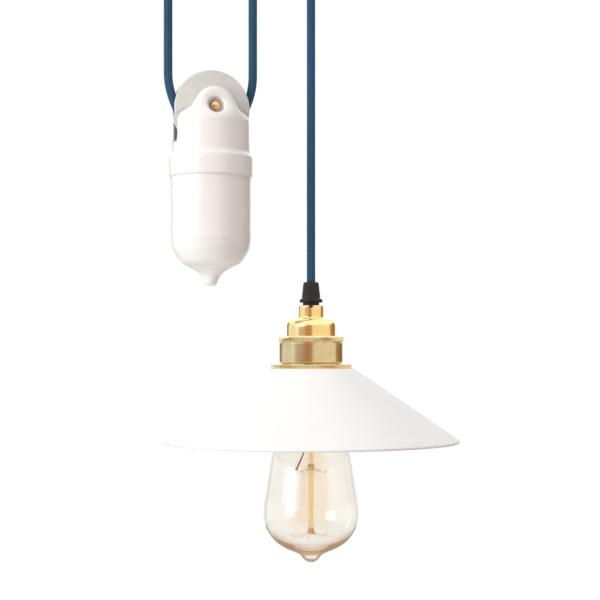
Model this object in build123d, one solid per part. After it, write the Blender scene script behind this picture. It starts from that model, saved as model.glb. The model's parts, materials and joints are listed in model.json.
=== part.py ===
from build123d import *
import math
import os

# Rise-and-fall pendant lamp: a ceiling fitting, a braided flex that runs down round the wheel
# of a porcelain counterweight, up over a ceiling wheel and down to a brass lampholder with a
# cone shade and a squirrel-cage bulb.
# Millimetres, +Z up. The origin is the centre of the ceiling mounting face. The flex, the two
# wheels and the lamp all lie in the XZ plane, and the wheel axles lie along Y.

# ---- Clearances ----
RUN_GAP = 0.05          # radial gap of a shaft in its bush, and of a plain stand-in thread
SEAT_GAP = 0.3          # gap between pieces on different bodies that almost touch
SLIP_GAP = 0.2          # radial gap of pieces that slip into each other

# ---- Flex ----
CORD_R = 2.8            # braided three-core flex, 5.6 across
CORE_R = 1.1            # one insulated core
ANCHOR_X = -38.5        # the run that is anchored in the ceiling fitting
BALANCE_X = 18.2        # the run from the counterweight up to the ceiling wheel
LAMP_X = 58.2           # the run down to the lamp, and the lamp's axis
SPLIT_Z = -173.0        # where the straight runs end and the loop under the weight wheel begins

# Centre line under the weight wheel, chosen by hand: (x, z) corners from left to right.
WEIGHT_LOOP = [
    (ANCHOR_X, SPLIT_Z), (ANCHOR_X, -182.7), (-33.55, -197.7), (-24.79, -212.94), (-15.51, -218.3),
    (-4.79, -218.3), (4.49, -212.94), (13.25, -197.7), (BALANCE_X, -182.7), (BALANCE_X, SPLIT_Z),
]
# Centre line over the ceiling wheel, chosen by hand.
CEILING_LOOP = [
    (BALANCE_X, -74.0), (BALANCE_X, -68.64), (23.56, -59.36), (32.84, -54.0),
    (43.56, -54.0), (52.84, -59.36), (LAMP_X, -68.64), (LAMP_X, -74.0),
]

# ---- Wheels ----
CEILING_WHEEL = (38.2, -74.0)       # x, z of the axis
WEIGHT_WHEEL = (-10.15, -198.3)
PITCH_R = 20.0                      # wheel axis to the flex's centre line
GROOVE_R = PITCH_R - CORD_R - SEAT_GAP
GROOVE_HALF = CORD_R + SEAT_GAP     # half width of the round groove bottom
GROOVE_FLARE = 1.4                  # how much wider the groove is at the rim
FLANGE_R = 25.0
WHEEL_W = 12.5
RIM_ROUND = 0.8
BUSH_R = 5.0
AXLE_R = 2.0
AXLE_HEAD_R = 3.25
AXLE_HEAD_H = 2.2
AXLE_HEAD_ROUND = 1.3
DRIVER_SLOT = (0.8, 1.6)            # width, depth into the head
WASHER_R = 4.5
WASHER_T = 0.45
WALL_Y = WHEEL_W / 2 + SEAT_GAP + WASHER_T      # inner faces of the fork and of the slot
NUT_M4 = (7.0, 3.2)                 # across flats, height
NUT_M8 = (13.0, 4.0)
NUT_M10 = (14.0, 3.5)

# ---- Ceiling fitting ----
ROSE_R = 60.0
ROSE_H = 35.0
ROSE_WALL = 1.5
ROSE_ROUND = 7.0
BRACKET_W = 24.0
BRACKET_T = 2.0
TAB_H = 15.0
MOUNT_PITCH = 51.0                  # conduit-box screw centres
MOUNT_HOLE_R = 2.5
CABLE_HOLE_R = 6.0
SIDE_SCREW_Z = -9.0
SIDE_SCREW_R = 2.0
SIDE_HEAD_R = 3.6
SIDE_HEAD_H = 2.0
BLOCK = (32.0, 14.0, 12.0)          # terminal block length, width, height
BLOCK_Y = 22.0
BLOCK_WAYS = 3
BLOCK_SCREW_R = 1.5
STEM_R = 4.0
STEM_COLLAR_R = 6.5
THREAD_END_Z = -25.5                # top of the threaded tails inside the rose
CHEEK_T = 2.5
CHEEK_HALF = 10.0
WHEEL_HEADROOM = 3.0

# ---- Nylon cord grips, from the tip to the thread ----
GRIP_TIP_R = 5.1
GRIP_BASE_R = 6.3
GRIP_LENGTH = 11.3
GRIP_COLLAR_R = 7.7
GRIP_COLLAR_H = 2.4
GRIP_NECK_R = 5.5
GRIP_NECK_H = 2.0
GRIP_THREAD_R = 4.8
GRIP_SCREW_R = 1.5
GRIP_SCREW_H = 3.0                  # above the collar
SCREW_SINK = 0.4                    # a sunk screw's end below the surface
UPPER_GRIP_STRETCH = 1.75           # the ceiling end has a longer taper

# ---- Counterweight ----
BODY_R = 25.7
POT_R = 26.4
COLLAR_STEP = 1.0
SLOT_DEPTH = 19.5                   # slot lip below the axle
SLOT_ROUND = 3.0
POCKET_GAP = 1.0
WEB = 4.0                           # porcelain below the wheel pocket
SHOULDER_Z = -206.5
CROWN_Z = -194.0
CROWN_R = 14.1                      # flat top of the crown
BOSS_R = 13.2
BOSS_HALF = 19.5
BOSS_ROUND = 3.5
RECESS_R = 5.25
RECESS_DEPTH = 3.0
SOCKET_DEPTH = 15.1
SOCKET_WALL = 4.4
CEMENT_T = 1.0
PACKING_T = 2.0
POT_WALL = 5.2
POT_SIDE_H = 41.0                   # collar edge down to the start of the rounded end
BALLAST_H = 55.0
BALLAST_NOSE = (11.0, 10.5)         # radius and height of the tapered lower end
# Rounded lower end of the pot: radius, depth below its straight side; then the small tip.
POT_END = [(24.9, 7.0), (19.8, 14.7), (13.2, 18.4), (7.4, 22.1), (4.9, 26.4)]
POT_TIP = [(3.9, 28.6), (2.0, 29.9), (0, 30.2)]
TIP_SLOPE = (-0.35, -1)

# ---- Lampholder ----
GRIP_TIP_Z = -311.1
NECK_R = 8.3
NECK_H = 8.5
CAP_SHOULDER = 3.8
CAP_H = 12.1                        # dome shoulder and skirt
SHEET = 1.2                         # brass wall
RING_EXTRA = 0.4                    # knurled ring beyond the barrel
RING_H = 4.0
BARREL_H = 13.4
BARREL_CHAMFER = 1.1
THREAD_END = 20.0                   # threaded part below the chamfer
SHELF_T = 1.5
FLANGE_DISC_R = 27.0
FLANGE_DISC_H = 2.8
LOWER_RING_STEP = 4.75              # lower ring beyond the thread
LOWER_RING_H = 3.5
INSULATOR_H = 12.0
SHELF_DROP = 8.4                    # insulator's shelf below the barrel's top
SET_SCREW_R = 1.25
SET_SCREW_DROP = 2.2
SHELL_T = 0.5
SHELL_LIP = 2.05
BULB_CAP_R = 13.0
SHELF_LEDGE = 2.4
BARREL_WALL = 1.55
BAND_STEP = 1.55
LIP_STEP = 0.55
LIP_W = 2.8
INSULATOR_GAP = 0.6
# Radii that follow from the bulb's cap, from the screw shell outwards.
SHELL_R = BULB_CAP_R + SEAT_GAP + RUN_GAP
SHELF_R = SHELL_R + SHELL_LIP + 2 * SLIP_GAP    # bore of the shelf that carries the insulator
BARREL_BORE = SHELF_R + SHELF_LEDGE
THREAD_R = BARREL_BORE + BARREL_WALL            # shade thread
BARREL_R = THREAD_R + BAND_STEP                 # wide band
LIP_R = THREAD_R - LIP_STEP                     # cap's lip inside the union ring
CAP_R = LIP_R - LIP_W
INSULATOR_R = CAP_R - SHEET - INSULATOR_GAP
CONTACT_T = 1.0
TERMINAL_R = 9.0                    # terminals from the axis
TERMINAL_SCREW_R = 1.4
TERMINAL_HEAD_R = 2.3

# ---- Shade ----
SHADE_TOP_R = 28.9
SHADE_RIM_R = 99.5
SHADE_DROP = 48.0
SHADE_T = 0.8
HEM_R = 0.9

# ---- Bulb ----
BULB_CAP_H = 24.0
TIP_CONTACT_R = 4.6
TIP_CONTACT_H = 1.2
BULB_INSULATOR_H = 2.3
GLASS_T = 0.8
# Half outline of the envelope: radius, height below the cap's lower edge.
GLASS_OUTLINE = [
    (12.7, 0.0), (14.6, 8.0), (19.6, 22.0), (25.6, 37.0), (29.2, 58.0), (31.9, 77.0),
    (31.0, 87.0), (24.5, 98.5), (14.0, 104.4), (3.2, 106.6),
]
TIP_OUTLINE = [(1.9, 109.5), (0.9, 112.3)]
STEM_ROD_R = 1.8
STEM_END = 93.0                     # below the cap's lower edge
STEM_FLARE_H = 30.0
CAGE_POSTS = 8
CAGE_TOP = (10.5, 51.5)             # radius, height below the cap's lower edge
CAGE_FOOT = (14.0, 97.0)
WIRE_R = 0.3
FILAMENT_R = 0.2

PARTS = {}


def keep(name, *solids):
    """Hold a sub-part's solids until they are written."""
    PARTS[name] = solids


def turned(points, x=0.0, radii=None):
    """Solid turned about the vertical line at x, from its closed (radius, z) outline."""
    corners = [(r, 0, z) for r, z in points]
    if radii:
        outline = FilletPolyline(corners, radius=radii, close=True)
    else:
        outline = Polyline(corners, close=True)
    return Pos(x, 0, 0) * revolve(make_face(outline), Axis.Z)


def ring(outer, inner, top, bottom, x=0.0):
    """Plain ring, or a disc where inner is 0, about the vertical line at x."""
    return turned([(inner, top), (outer, top), (outer, bottom), (inner, bottom)], x)


def rod(radius, start, end):
    """Cylinder between two points."""
    start, end = Vector(*start), Vector(*end)
    plane = Plane(origin=start, z_dir=end - start)
    return plane * Cylinder(radius, (end - start).length, align=(Align.CENTER, Align.CENTER, Align.MIN))


def pin_y(radius, centre, y0, y1):
    """Cylinder along Y at the (x, z) centre."""
    x, z = centre
    return rod(radius, (x, y0, z), (x, y1, z))


def nut(size, bore, base, direction):
    """Hexagon nut of (across flats, height) that stands on base and grows along direction."""
    across, height = size
    outline = RegularPolygon(across / 2, 6, major_radius=False) - Circle(bore + RUN_GAP)
    return Plane(origin=base, z_dir=direction) * extrude(outline, height)


def bend_radii(points):
    """Bend radius at each inner corner: 0.45 of the shorter run over the half turn's tangent."""
    radii = []
    last = len(points) - 2
    for i in range(1, len(points) - 1):
        before, after = points[i] - points[i - 1], points[i + 1] - points[i]
        room_before = before.length * (2 if i == 1 else 1)
        room_after = after.length * (2 if i == last else 1)
        half_turn = math.radians(before.get_angle(after)) / 2
        radii.append(0.45 * min(room_before, room_after) / math.tan(half_turn))
    return radii


def tube(name, points, radius):
    """Round cord along straight runs joined by tangent arcs."""
    points = [Vector(*p) for p in points]
    if len(points) == 2:
        return rod(radius, points[0], points[1])
    radii = bend_radii(points)
    path = FilletPolyline(points, radius=radii)
    section = Plane(origin=points[0], z_dir=points[1] - points[0]) * Circle(radius)
    solid = sweep(section, path)
    expected = math.pi * radius ** 2 * path.length
    bends = ", ".join(f"{r:.1f}" for r in radii)
    print(f"{name}: bends {bends}; length {path.length:.1f}")
    print(f"{name}: volume {solid.volume / expected:.4f} of expected")
    return solid


def in_plane(points):
    """(x, z) corners as points of the XZ plane."""
    return [(x, 0, z) for x, z in points]


def inset(points, wall):
    """Outline moved inwards by a wall, each point along its own normal."""
    moved = []
    for i, (r, z) in enumerate(points):
        r0, z0 = points[max(i - 1, 0)]
        r1, z1 = points[min(i + 1, len(points) - 1)]
        along = math.hypot(r1 - r0, z1 - z0)
        moved.append((r + (z1 - z0) / along * wall, z - (r1 - r0) / along * wall))
    return moved


# ---- Wheels and their axles ----

def grooved_wheel(centre):
    """Wheel with a round-bottomed groove, bored for its bush, axis along Y."""
    half = WHEEL_W / 2
    rim = FLANGE_R
    mouth = GROOVE_HALF + GROOVE_FLARE
    bottom_centre = GROOVE_R + GROOVE_HALF
    profile = [
        Polyline((BUSH_R, -half), (rim - RIM_ROUND, -half), (rim, -half + RIM_ROUND), (rim, -mouth),
                 (bottom_centre, -GROOVE_HALF)),
        ThreePointArc((bottom_centre, -GROOVE_HALF), (GROOVE_R, 0), (bottom_centre, GROOVE_HALF)),
        Polyline((bottom_centre, GROOVE_HALF), (rim, mouth), (rim, half - RIM_ROUND),
                 (rim - RIM_ROUND, half), (BUSH_R, half), (BUSH_R, -half)),
    ]
    x, z = centre
    return Pos(x, 0, z) * revolve(make_face(profile), Axis.Y)


def bush(centre):
    """Brass bush in the wheel's bore."""
    half = WHEEL_W / 2
    return pin_y(BUSH_R, centre, -half, half) - pin_y(AXLE_R + RUN_GAP, centre, -half, half)


def axle(centre, front, back):
    """Slotted screw from its head's seat at y=front to its end at y=back."""
    head = pin_y(AXLE_HEAD_R, centre, front - AXLE_HEAD_H, front)
    head = fillet(head.edges().group_by(Axis.Y)[0], AXLE_HEAD_ROUND)
    x, z = centre
    driver_slot = Pos(x, front - AXLE_HEAD_H, z) * Box(*DRIVER_SLOT, 3 * AXLE_HEAD_R)
    return head - driver_slot + pin_y(AXLE_R, centre, front, back)


def washers(centre, wall_y):
    """Two thin washers against the walls at y = -wall_y and +wall_y."""
    found = []
    for side in (-1, 1):
        inner, outer = side * (wall_y - WASHER_T), side * wall_y
        bore = pin_y(AXLE_R + RUN_GAP, centre, inner, outer)
        found.append(pin_y(WASHER_R, centre, inner, outer) - bore)
    return found


# ---- Nylon cord grip ----

def cord_grip(x, tip_z, up, seat_z, thread_end, stretch=1.0):
    """Tapered grip: tip at tip_z, collar seated by seat_z, thread on to thread_end; up is +1 or -1."""
    collar_z = tip_z - up * GRIP_LENGTH * stretch
    under_collar = collar_z - up * GRIP_COLLAR_H
    bore = CORD_R + RUN_GAP
    outline = [
        (bore, tip_z), (GRIP_TIP_R, tip_z), (GRIP_BASE_R, collar_z), (GRIP_COLLAR_R, collar_z),
        (GRIP_COLLAR_R, under_collar), (GRIP_NECK_R, under_collar), (GRIP_NECK_R, seat_z),
        (GRIP_THREAD_R, seat_z), (GRIP_THREAD_R, thread_end), (bore, thread_end),
    ]
    screw_z = collar_z + up * GRIP_SCREW_H
    hole = rod(GRIP_SCREW_R + RUN_GAP, (x, 0, screw_z), (x + 2 * GRIP_BASE_R, 0, screw_z))
    return turned(outline, x) - hole


def grip_screw(x, tip_z, up, stretch=1.0):
    """Clamp screw through the grip's side that bears on the flex."""
    z = tip_z - up * GRIP_LENGTH * stretch + up * GRIP_SCREW_H
    return rod(GRIP_SCREW_R, (x + CORD_R + RUN_GAP, 0, z), (x + GRIP_BASE_R - SCREW_SINK, 0, z))


# ---- Ceiling fitting ----

def ceiling_fitting():
    rose_base = -ROSE_H
    rose_inner = rose_base + ROSE_WALL
    inner_r = ROSE_R - ROSE_WALL
    wheel_x, wheel_z = CEILING_WHEEL

    # Strap across the ceiling box, a wing for the terminal block and a tab at each end.
    strap_end = math.sqrt(inner_r ** 2 - (BRACKET_W / 2) ** 2) - SLIP_GAP
    strap = Pos(0, 0, -BRACKET_T / 2) * Box(2 * strap_end, BRACKET_W, BRACKET_T)
    wing_y = (BRACKET_W / 2 - 2 + BLOCK_Y + BLOCK[1] / 2) / 2
    wing_w = BLOCK_Y + BLOCK[1] / 2 - BRACKET_W / 2 + 2
    wing = Pos(0, wing_y, -BRACKET_T / 2) * Box(BLOCK[0] + 2, wing_w, BRACKET_T)
    bracket = strap + wing
    for side in (-1, 1):
        tab_x = side * (strap_end - BRACKET_T / 2)
        bracket += Pos(tab_x, 0, -TAB_H / 2) * Box(BRACKET_T, BRACKET_W, TAB_H)
        hole_start = (tab_x - 2 * BRACKET_T, 0, SIDE_SCREW_Z)
        hole_end = (tab_x + 2 * BRACKET_T, 0, SIDE_SCREW_Z)
        bracket -= rod(SIDE_SCREW_R + RUN_GAP, hole_start, hole_end)
        mount_x = side * MOUNT_PITCH / 2
        bracket -= rod(MOUNT_HOLE_R, (mount_x, 0, -BRACKET_T), (mount_x, 0, 0))
    bracket -= rod(CABLE_HOLE_R, (0, 0, -BRACKET_T), (0, 0, 0))
    keep("mounting_bracket", bracket)

    # Rose: a spun cup with its open side to the ceiling.
    cup = turned(
        [(0, rose_base), (ROSE_R, rose_base), (ROSE_R, 0), (inner_r, 0), (inner_r, rose_inner),
         (0, rose_inner)],
        radii=[0, ROSE_ROUND, 0, 0, ROSE_ROUND - ROSE_WALL, 0],
    )
    cup -= rod(GRIP_THREAD_R + SLIP_GAP, (ANCHOR_X, 0, rose_base), (ANCHOR_X, 0, rose_inner))
    cup -= rod(STEM_R + SLIP_GAP, (wheel_x, 0, rose_base), (wheel_x, 0, rose_inner))
    screws = []
    for side in (-1, 1):
        head_seat = (side * ROSE_R, 0, SIDE_SCREW_Z)
        head_end = (side * (ROSE_R + SIDE_HEAD_H), 0, SIDE_SCREW_Z)
        shank_end = (side * (strap_end - 2 * BRACKET_T), 0, SIDE_SCREW_Z)
        cup -= rod(SIDE_SCREW_R + SLIP_GAP, shank_end, head_seat)
        screws.append(rod(SIDE_SCREW_R, shank_end, head_seat) + rod(SIDE_HEAD_R, head_seat, head_end))
    keep("rose_cup", cup)
    keep("rose_screws", *screws)

    # Three-way terminal block on the bracket's wing, entered from -X and left towards +X.
    block_top = -BRACKET_T
    block = Pos(0, BLOCK_Y, block_top - BLOCK[2] / 2) * Box(*BLOCK)
    way_pitch = BLOCK[0] / BLOCK_WAYS
    block_screws = []
    for i in range(BLOCK_WAYS):
        x = (i - (BLOCK_WAYS - 1) / 2) * way_pitch
        face = block_top - BLOCK[2]
        seat = (x, BLOCK_Y, face + 4.0)
        block -= rod(BLOCK_SCREW_R + RUN_GAP, (x, BLOCK_Y, face), seat)
        block_screws.append(rod(BLOCK_SCREW_R, (x, BLOCK_Y, face + SCREW_SINK), seat))
    keep("terminal_block", block)
    keep("terminal_block_screws", *block_screws)

    # Cord grip below the rose, its nut inside, and the flex up to the terminal block.
    tip = rose_base - GRIP_COLLAR_H - GRIP_LENGTH * UPPER_GRIP_STRETCH
    keep("upper_cord_grip", cord_grip(ANCHOR_X, tip, -1, rose_base, THREAD_END_Z, UPPER_GRIP_STRETCH))
    keep("upper_grip_screw", grip_screw(ANCHOR_X, tip, -1, UPPER_GRIP_STRETCH))
    keep("upper_grip_nut", nut(NUT_M10, GRIP_THREAD_R, (ANCHOR_X, 0, rose_inner), (0, 0, 1)))
    tail = [(ANCHOR_X, 0, tip), (ANCHOR_X, 0, -18.0), (-36.0, 13.0, -9.0), (-28.0, BLOCK_Y, -8.0),
            (-BLOCK[0] / 2, BLOCK_Y, -8.0)]
    anchor_run = in_plane([(ANCHOR_X, SPLIT_Z), (ANCHOR_X, tip)])
    keep("flex_ceiling_tail", tube("flex_ceiling_tail", tail, CORD_R))
    keep("flex_anchor_run", tube("flex_anchor_run", anchor_run, CORD_R))

    # Fork that hangs the ceiling wheel below the rose.
    cheek_out = WALL_Y + CHEEK_T
    crown = wheel_z + FLANGE_R + WHEEL_HEADROOM
    fork = Pos(wheel_x, 0, crown + CHEEK_T / 2) * Box(2 * CHEEK_HALF, 2 * cheek_out, CHEEK_T)
    for side in (-1, 1):
        y = side * (WALL_Y + cheek_out) / 2
        fork += Pos(wheel_x, y, (crown + wheel_z) / 2) * Box(2 * CHEEK_HALF, CHEEK_T, crown - wheel_z)
        fork += pin_y(CHEEK_HALF, CEILING_WHEEL, side * WALL_Y, side * cheek_out)
    fork -= pin_y(AXLE_R + RUN_GAP, CEILING_WHEEL, -2 * cheek_out, 2 * cheek_out)
    fork += rod(STEM_COLLAR_R, (wheel_x, 0, crown + CHEEK_T), (wheel_x, 0, rose_base))
    fork += rod(STEM_R, (wheel_x, 0, rose_base), (wheel_x, 0, THREAD_END_Z))
    keep("wheel_fork", fork)
    keep("fork_nut", nut(NUT_M8, STEM_R, (wheel_x, 0, rose_inner), (0, 0, 1)))
    keep("ceiling_axle", axle(CEILING_WHEEL, -cheek_out, cheek_out + NUT_M4[1] + 1.0))
    keep("ceiling_axle_nut", nut(NUT_M4, AXLE_R, (wheel_x, cheek_out, wheel_z), (0, 1, 0)))
    keep("ceiling_axle_washers", *washers(CEILING_WHEEL, WALL_Y))
    keep("ceiling_wheel", grooved_wheel(CEILING_WHEEL))
    keep("ceiling_wheel_bush", bush(CEILING_WHEEL))

    # The flex over the ceiling wheel and its two straight runs.
    top_z = CEILING_LOOP[0][1]
    keep("flex_ceiling_loop", tube("flex_ceiling_loop", in_plane(CEILING_LOOP), CORD_R))
    balance_run = in_plane([(BALANCE_X, SPLIT_Z), (BALANCE_X, top_z)])
    drop_run = in_plane([(LAMP_X, GRIP_TIP_Z), (LAMP_X, top_z)])
    keep("flex_balance_run", tube("flex_balance_run", balance_run, CORD_R))
    keep("flex_drop_run", tube("flex_drop_run", drop_run, CORD_R))


# ---- Counterweight ----

def counterweight():
    x, axle_z = WEIGHT_WHEEL
    pocket_r = FLANGE_R + POCKET_GAP
    socket_top = axle_z - pocket_r - WEB
    collar_edge = socket_top - SOCKET_DEPTH
    collar_r = POT_R + COLLAR_STEP
    socket_r = POT_R + COLLAR_STEP - SOCKET_WALL

    # Head: cylinder with a domed crown, a skirt over the pot and a boss round the axle.
    crown = [
        Line((0, CROWN_Z), (CROWN_R, CROWN_Z)),
        ThreePointArc((CROWN_R, CROWN_Z), (BODY_R - 3.4, CROWN_Z - 4.6), (BODY_R, SHOULDER_Z)),
        Polyline((BODY_R, SHOULDER_Z), (BODY_R, socket_top + 3.0), (collar_r, socket_top - 1.5),
                 (collar_r, collar_edge), (socket_r, collar_edge), (socket_r, socket_top),
                 (0, socket_top), (0, CROWN_Z)),
    ]
    # The outline is drawn flat, then stood up in the XZ plane to be turned about Z.
    head = Pos(x, 0, 0) * revolve(Plane.XZ * make_face(crown), Axis.Z)
    boss = pin_y(BOSS_R, WEIGHT_WHEEL, -BOSS_HALF, BOSS_HALF)
    boss_rims = boss.edges().group_by(Axis.Y)
    boss = fillet(boss_rims[0] + boss_rims[-1], BOSS_ROUND)
    head += boss
    lip_z = axle_z - SLOT_DEPTH
    slot = Pos(x, 0, lip_z + 50) * Box(4 * POT_R, 2 * WALL_Y, 100)
    slot = fillet(slot.edges().filter_by(Axis.X).group_by(Axis.Z)[0], SLOT_ROUND)
    head -= slot
    head -= pin_y(pocket_r, WEIGHT_WHEEL, -WALL_Y, WALL_Y)
    head -= pin_y(AXLE_R + RUN_GAP, WEIGHT_WHEEL, -BOSS_HALF, BOSS_HALF)
    for side in (-1, 1):
        floor = side * (BOSS_HALF - RECESS_DEPTH)
        head -= pin_y(RECESS_R, WEIGHT_WHEEL, floor, side * (BOSS_HALF + 5))
    keep("weight_head", head)

    # Pot: hollow below, with a neck that is cemented into the head's socket.
    neck_r = socket_r - SLIP_GAP
    neck_top = socket_top - CEMENT_T
    pot_top = collar_edge - SEAT_GAP
    side_end = collar_edge - POT_SIDE_H
    bore_r = POT_R - POT_WALL
    ballast_top = neck_top - PACKING_T
    bore_floor = ballast_top - BALLAST_H
    nose_r, nose_h = BALLAST_NOSE
    nose_z = bore_floor - nose_h
    rounded = [(r, side_end - depth) for r, depth in POT_END]
    tip = [(r, side_end - depth) for r, depth in POT_TIP]
    end = [
        Polyline((bore_r, neck_top), (neck_r, neck_top), (neck_r, pot_top), (POT_R, pot_top),
                 (POT_R, side_end)),
        Spline((POT_R, side_end), *rounded, tangents=((0, -1), TIP_SLOPE)),
        Spline(rounded[-1], *tip, tangents=(TIP_SLOPE, (-1, 0))),
        Polyline(tip[-1], (0, nose_z), (nose_r, nose_z), (bore_r, bore_floor), (bore_r, neck_top)),
    ]
    keep("weight_pot", Pos(x, 0, 0) * revolve(Plane.XZ * make_face(end), Axis.Z))
    keep("pot_cement", ring(neck_r, 0, socket_top, neck_top, x))
    keep("ballast", turned(
        [(0, ballast_top), (bore_r, ballast_top), (bore_r, bore_floor), (nose_r, nose_z), (0, nose_z)], x))
    keep("ballast_packing", ring(bore_r, 0, neck_top, ballast_top, x))

    # The head and the nut stand on the floors of the front and rear recesses.
    seat = BOSS_HALF - RECESS_DEPTH
    keep("weight_axle", axle(WEIGHT_WHEEL, -seat, BOSS_HALF + 0.5))
    keep("weight_axle_nut", nut(NUT_M4, AXLE_R, (x, seat, axle_z), (0, 1, 0)))
    keep("weight_axle_washers", *washers(WEIGHT_WHEEL, WALL_Y))
    keep("weight_wheel", grooved_wheel(WEIGHT_WHEEL))
    keep("weight_wheel_bush", bush(WEIGHT_WHEEL))
    keep("flex_weight_loop", tube("flex_weight_loop", in_plane(WEIGHT_LOOP), CORD_R))


# ---- Lamp ----

def lampholder():
    """Cord grip, brass holder and its inner pieces; returns the heights the shade and bulb need."""
    x = LAMP_X
    collar_z = GRIP_TIP_Z - GRIP_LENGTH
    cap_top = collar_z - GRIP_COLLAR_H - GRIP_NECK_H
    cap_base = cap_top - NECK_H
    ring_top = cap_base - CAP_H
    thread_end = cap_base - SHEET
    keep("cord_grip", cord_grip(x, GRIP_TIP_Z, 1, cap_top, thread_end))
    keep("grip_screw", grip_screw(x, GRIP_TIP_Z, 1))
    keep("flex_lamp_tail", tube("flex_lamp_tail", in_plane([(x, GRIP_TIP_Z), (x, thread_end)]), CORD_R))

    # Cap: threaded neck, domed shoulder, skirt, and a lip that the union ring traps.
    lip_bottom = ring_top - 2 * SHEET
    entry_r = GRIP_THREAD_R + RUN_GAP
    inner = CAP_R - SHEET
    cap = turned(
        [(entry_r, cap_top), (NECK_R, cap_top), (NECK_R, cap_base), (CAP_R, cap_base),
         (CAP_R, lip_bottom + SHEET), (LIP_R, lip_bottom + SHEET), (LIP_R, lip_bottom),
         (inner, lip_bottom), (inner, cap_base - SHEET), (entry_r, cap_base - SHEET)],
        x, radii=[0, 0.5, 0, CAP_SHOULDER, 0, 0, 0, 0, CAP_SHOULDER - SHEET, 0],
    )
    screw_z = cap_top - SET_SCREW_DROP
    screw_in = (x, -GRIP_THREAD_R - RUN_GAP, screw_z)
    keep("holder_cap", cap - rod(SET_SCREW_R + RUN_GAP, screw_in, (x, -2 * NECK_R, screw_z)))
    keep("neck_set_screw", rod(SET_SCREW_R, screw_in, (x, -NECK_R + SCREW_SINK, screw_z)))

    # Union ring, knurled round its rim.
    ring_r = BARREL_R + RING_EXTRA
    ring_bottom = ring_top - RING_H
    web_bottom = ring_top - SHEET + 0.05
    keep("union_ring", turned(
        [(CAP_R + SLIP_GAP, ring_top), (ring_r, ring_top), (ring_r, ring_bottom),
         (THREAD_R + RUN_GAP, ring_bottom), (THREAD_R + RUN_GAP, web_bottom),
         (CAP_R + SLIP_GAP, web_bottom)],
        x, radii=[0, 1.2, 0.6, 0, 0, 0],
    ))

    # Barrel: wide band below the ring, then the long shade thread.
    barrel_top = ring_bottom - 0.2
    barrel_end = ring_bottom - BARREL_H
    thread_top = lip_bottom
    skirt_end = barrel_end - BARREL_CHAMFER
    foot = skirt_end - THREAD_END
    shelf = thread_top - SHELF_DROP
    keep("holder_barrel", turned(
        [(BARREL_BORE, thread_top), (THREAD_R, thread_top), (THREAD_R, barrel_top), (BARREL_R, barrel_top),
         (BARREL_R, barrel_end), (BARREL_R - BARREL_CHAMFER, skirt_end), (THREAD_R, skirt_end),
         (THREAD_R, foot), (BARREL_BORE, foot), (BARREL_BORE, shelf - SHELF_T),
         (SHELF_R, shelf - SHELF_T), (SHELF_R, shelf), (BARREL_BORE, shelf)], x))

    # Ceramic insulator on the barrel's shelf, with three terminals, shell and centre contact.
    base_r = BARREL_BORE - SLIP_GAP
    raised_top = shelf + INSULATOR_H
    insulator = turned(
        [(0, raised_top), (INSULATOR_R, raised_top), (INSULATOR_R, thread_top), (base_r, thread_top),
         (base_r, shelf), (0, shelf)], x)
    screws = []
    for angle in (90, 210, 330):
        sx = x + TERMINAL_R * math.cos(math.radians(angle))
        sy = TERMINAL_R * math.sin(math.radians(angle))
        insulator -= rod(TERMINAL_SCREW_R + RUN_GAP, (sx, sy, raised_top - 6), (sx, sy, raised_top))
        screw = rod(TERMINAL_SCREW_R, (sx, sy, raised_top - 5), (sx, sy, raised_top))
        screws.append(screw + rod(TERMINAL_HEAD_R, (sx, sy, raised_top), (sx, sy, raised_top + 1.2)))
    keep("insulator", insulator)
    keep("terminal_screws", *screws)
    lip_r = SHELL_R + SHELL_LIP
    keep("screw_shell", turned(
        [(SHELL_R, shelf), (lip_r, shelf), (lip_r, shelf - SHELL_T), (SHELL_R + SHELL_T, shelf - SHELL_T),
         (SHELL_R + SHELL_T, foot + 1.0), (SHELL_R, foot + 1.0)], x))
    keep("centre_contact", ring(TIP_CONTACT_R - 1.0, 0, shelf, shelf - CONTACT_T, x))

    # Cores from the end of the flex to the terminals.
    for name, angle in (("core_live", 210), ("core_neutral", 330), ("core_earth", 90)):
        cos, sin = math.cos(math.radians(angle)), math.sin(math.radians(angle))
        far = TERMINAL_R - TERMINAL_HEAD_R + CORE_R
        turn_z = (thread_end + raised_top) / 2
        route = [(x + 1.5 * cos, 1.5 * sin, thread_end), (x + 1.5 * cos, 1.5 * sin, turn_z + 0.4),
                 (x + far * cos, far * sin, turn_z - 0.6), (x + far * cos, far * sin, raised_top + 1.2)]
        keep(name, tube(name, route, CORE_R))
    return skirt_end, shelf - CONTACT_T


def shade_and_rings(skirt_end):
    """Shade clamped on the barrel's thread between a knurled disc and a lower ring."""
    x = LAMP_X
    bore = THREAD_R + RUN_GAP
    disc_top = skirt_end - 0.4
    shade_top = disc_top - FLANGE_DISC_H
    keep("shade_disc", turned(
        [(bore, disc_top), (FLANGE_DISC_R, disc_top), (FLANGE_DISC_R, shade_top), (bore, shade_top)],
        x, radii=[0, 0.5, 0.5, 0]))
    rim_z = shade_top - SHADE_DROP
    slope = math.hypot(SHADE_RIM_R - SHADE_TOP_R, SHADE_DROP)
    down, out = SHADE_DROP / slope * SHADE_T, (SHADE_RIM_R - SHADE_TOP_R) / slope * SHADE_T
    shade = turned(
        [(THREAD_R + 2 * SLIP_GAP, shade_top), (SHADE_TOP_R, shade_top), (SHADE_RIM_R, rim_z),
         (SHADE_RIM_R - down, rim_z - out), (SHADE_TOP_R - down / 2, shade_top - SHADE_T),
         (THREAD_R + 2 * SLIP_GAP, shade_top - SHADE_T)], x)
    hem = Pos(x, 0, rim_z) * revolve(
        Plane.XZ * Pos(SHADE_RIM_R - HEM_R, -HEM_R + 0.3) * Circle(HEM_R), Axis.Z)
    keep("shade", shade + hem)
    lower = shade_top - SHADE_T
    keep("shade_ring", ring(THREAD_R + LOWER_RING_STEP, bore, lower, lower - LOWER_RING_H, x))
    return rim_z


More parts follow.
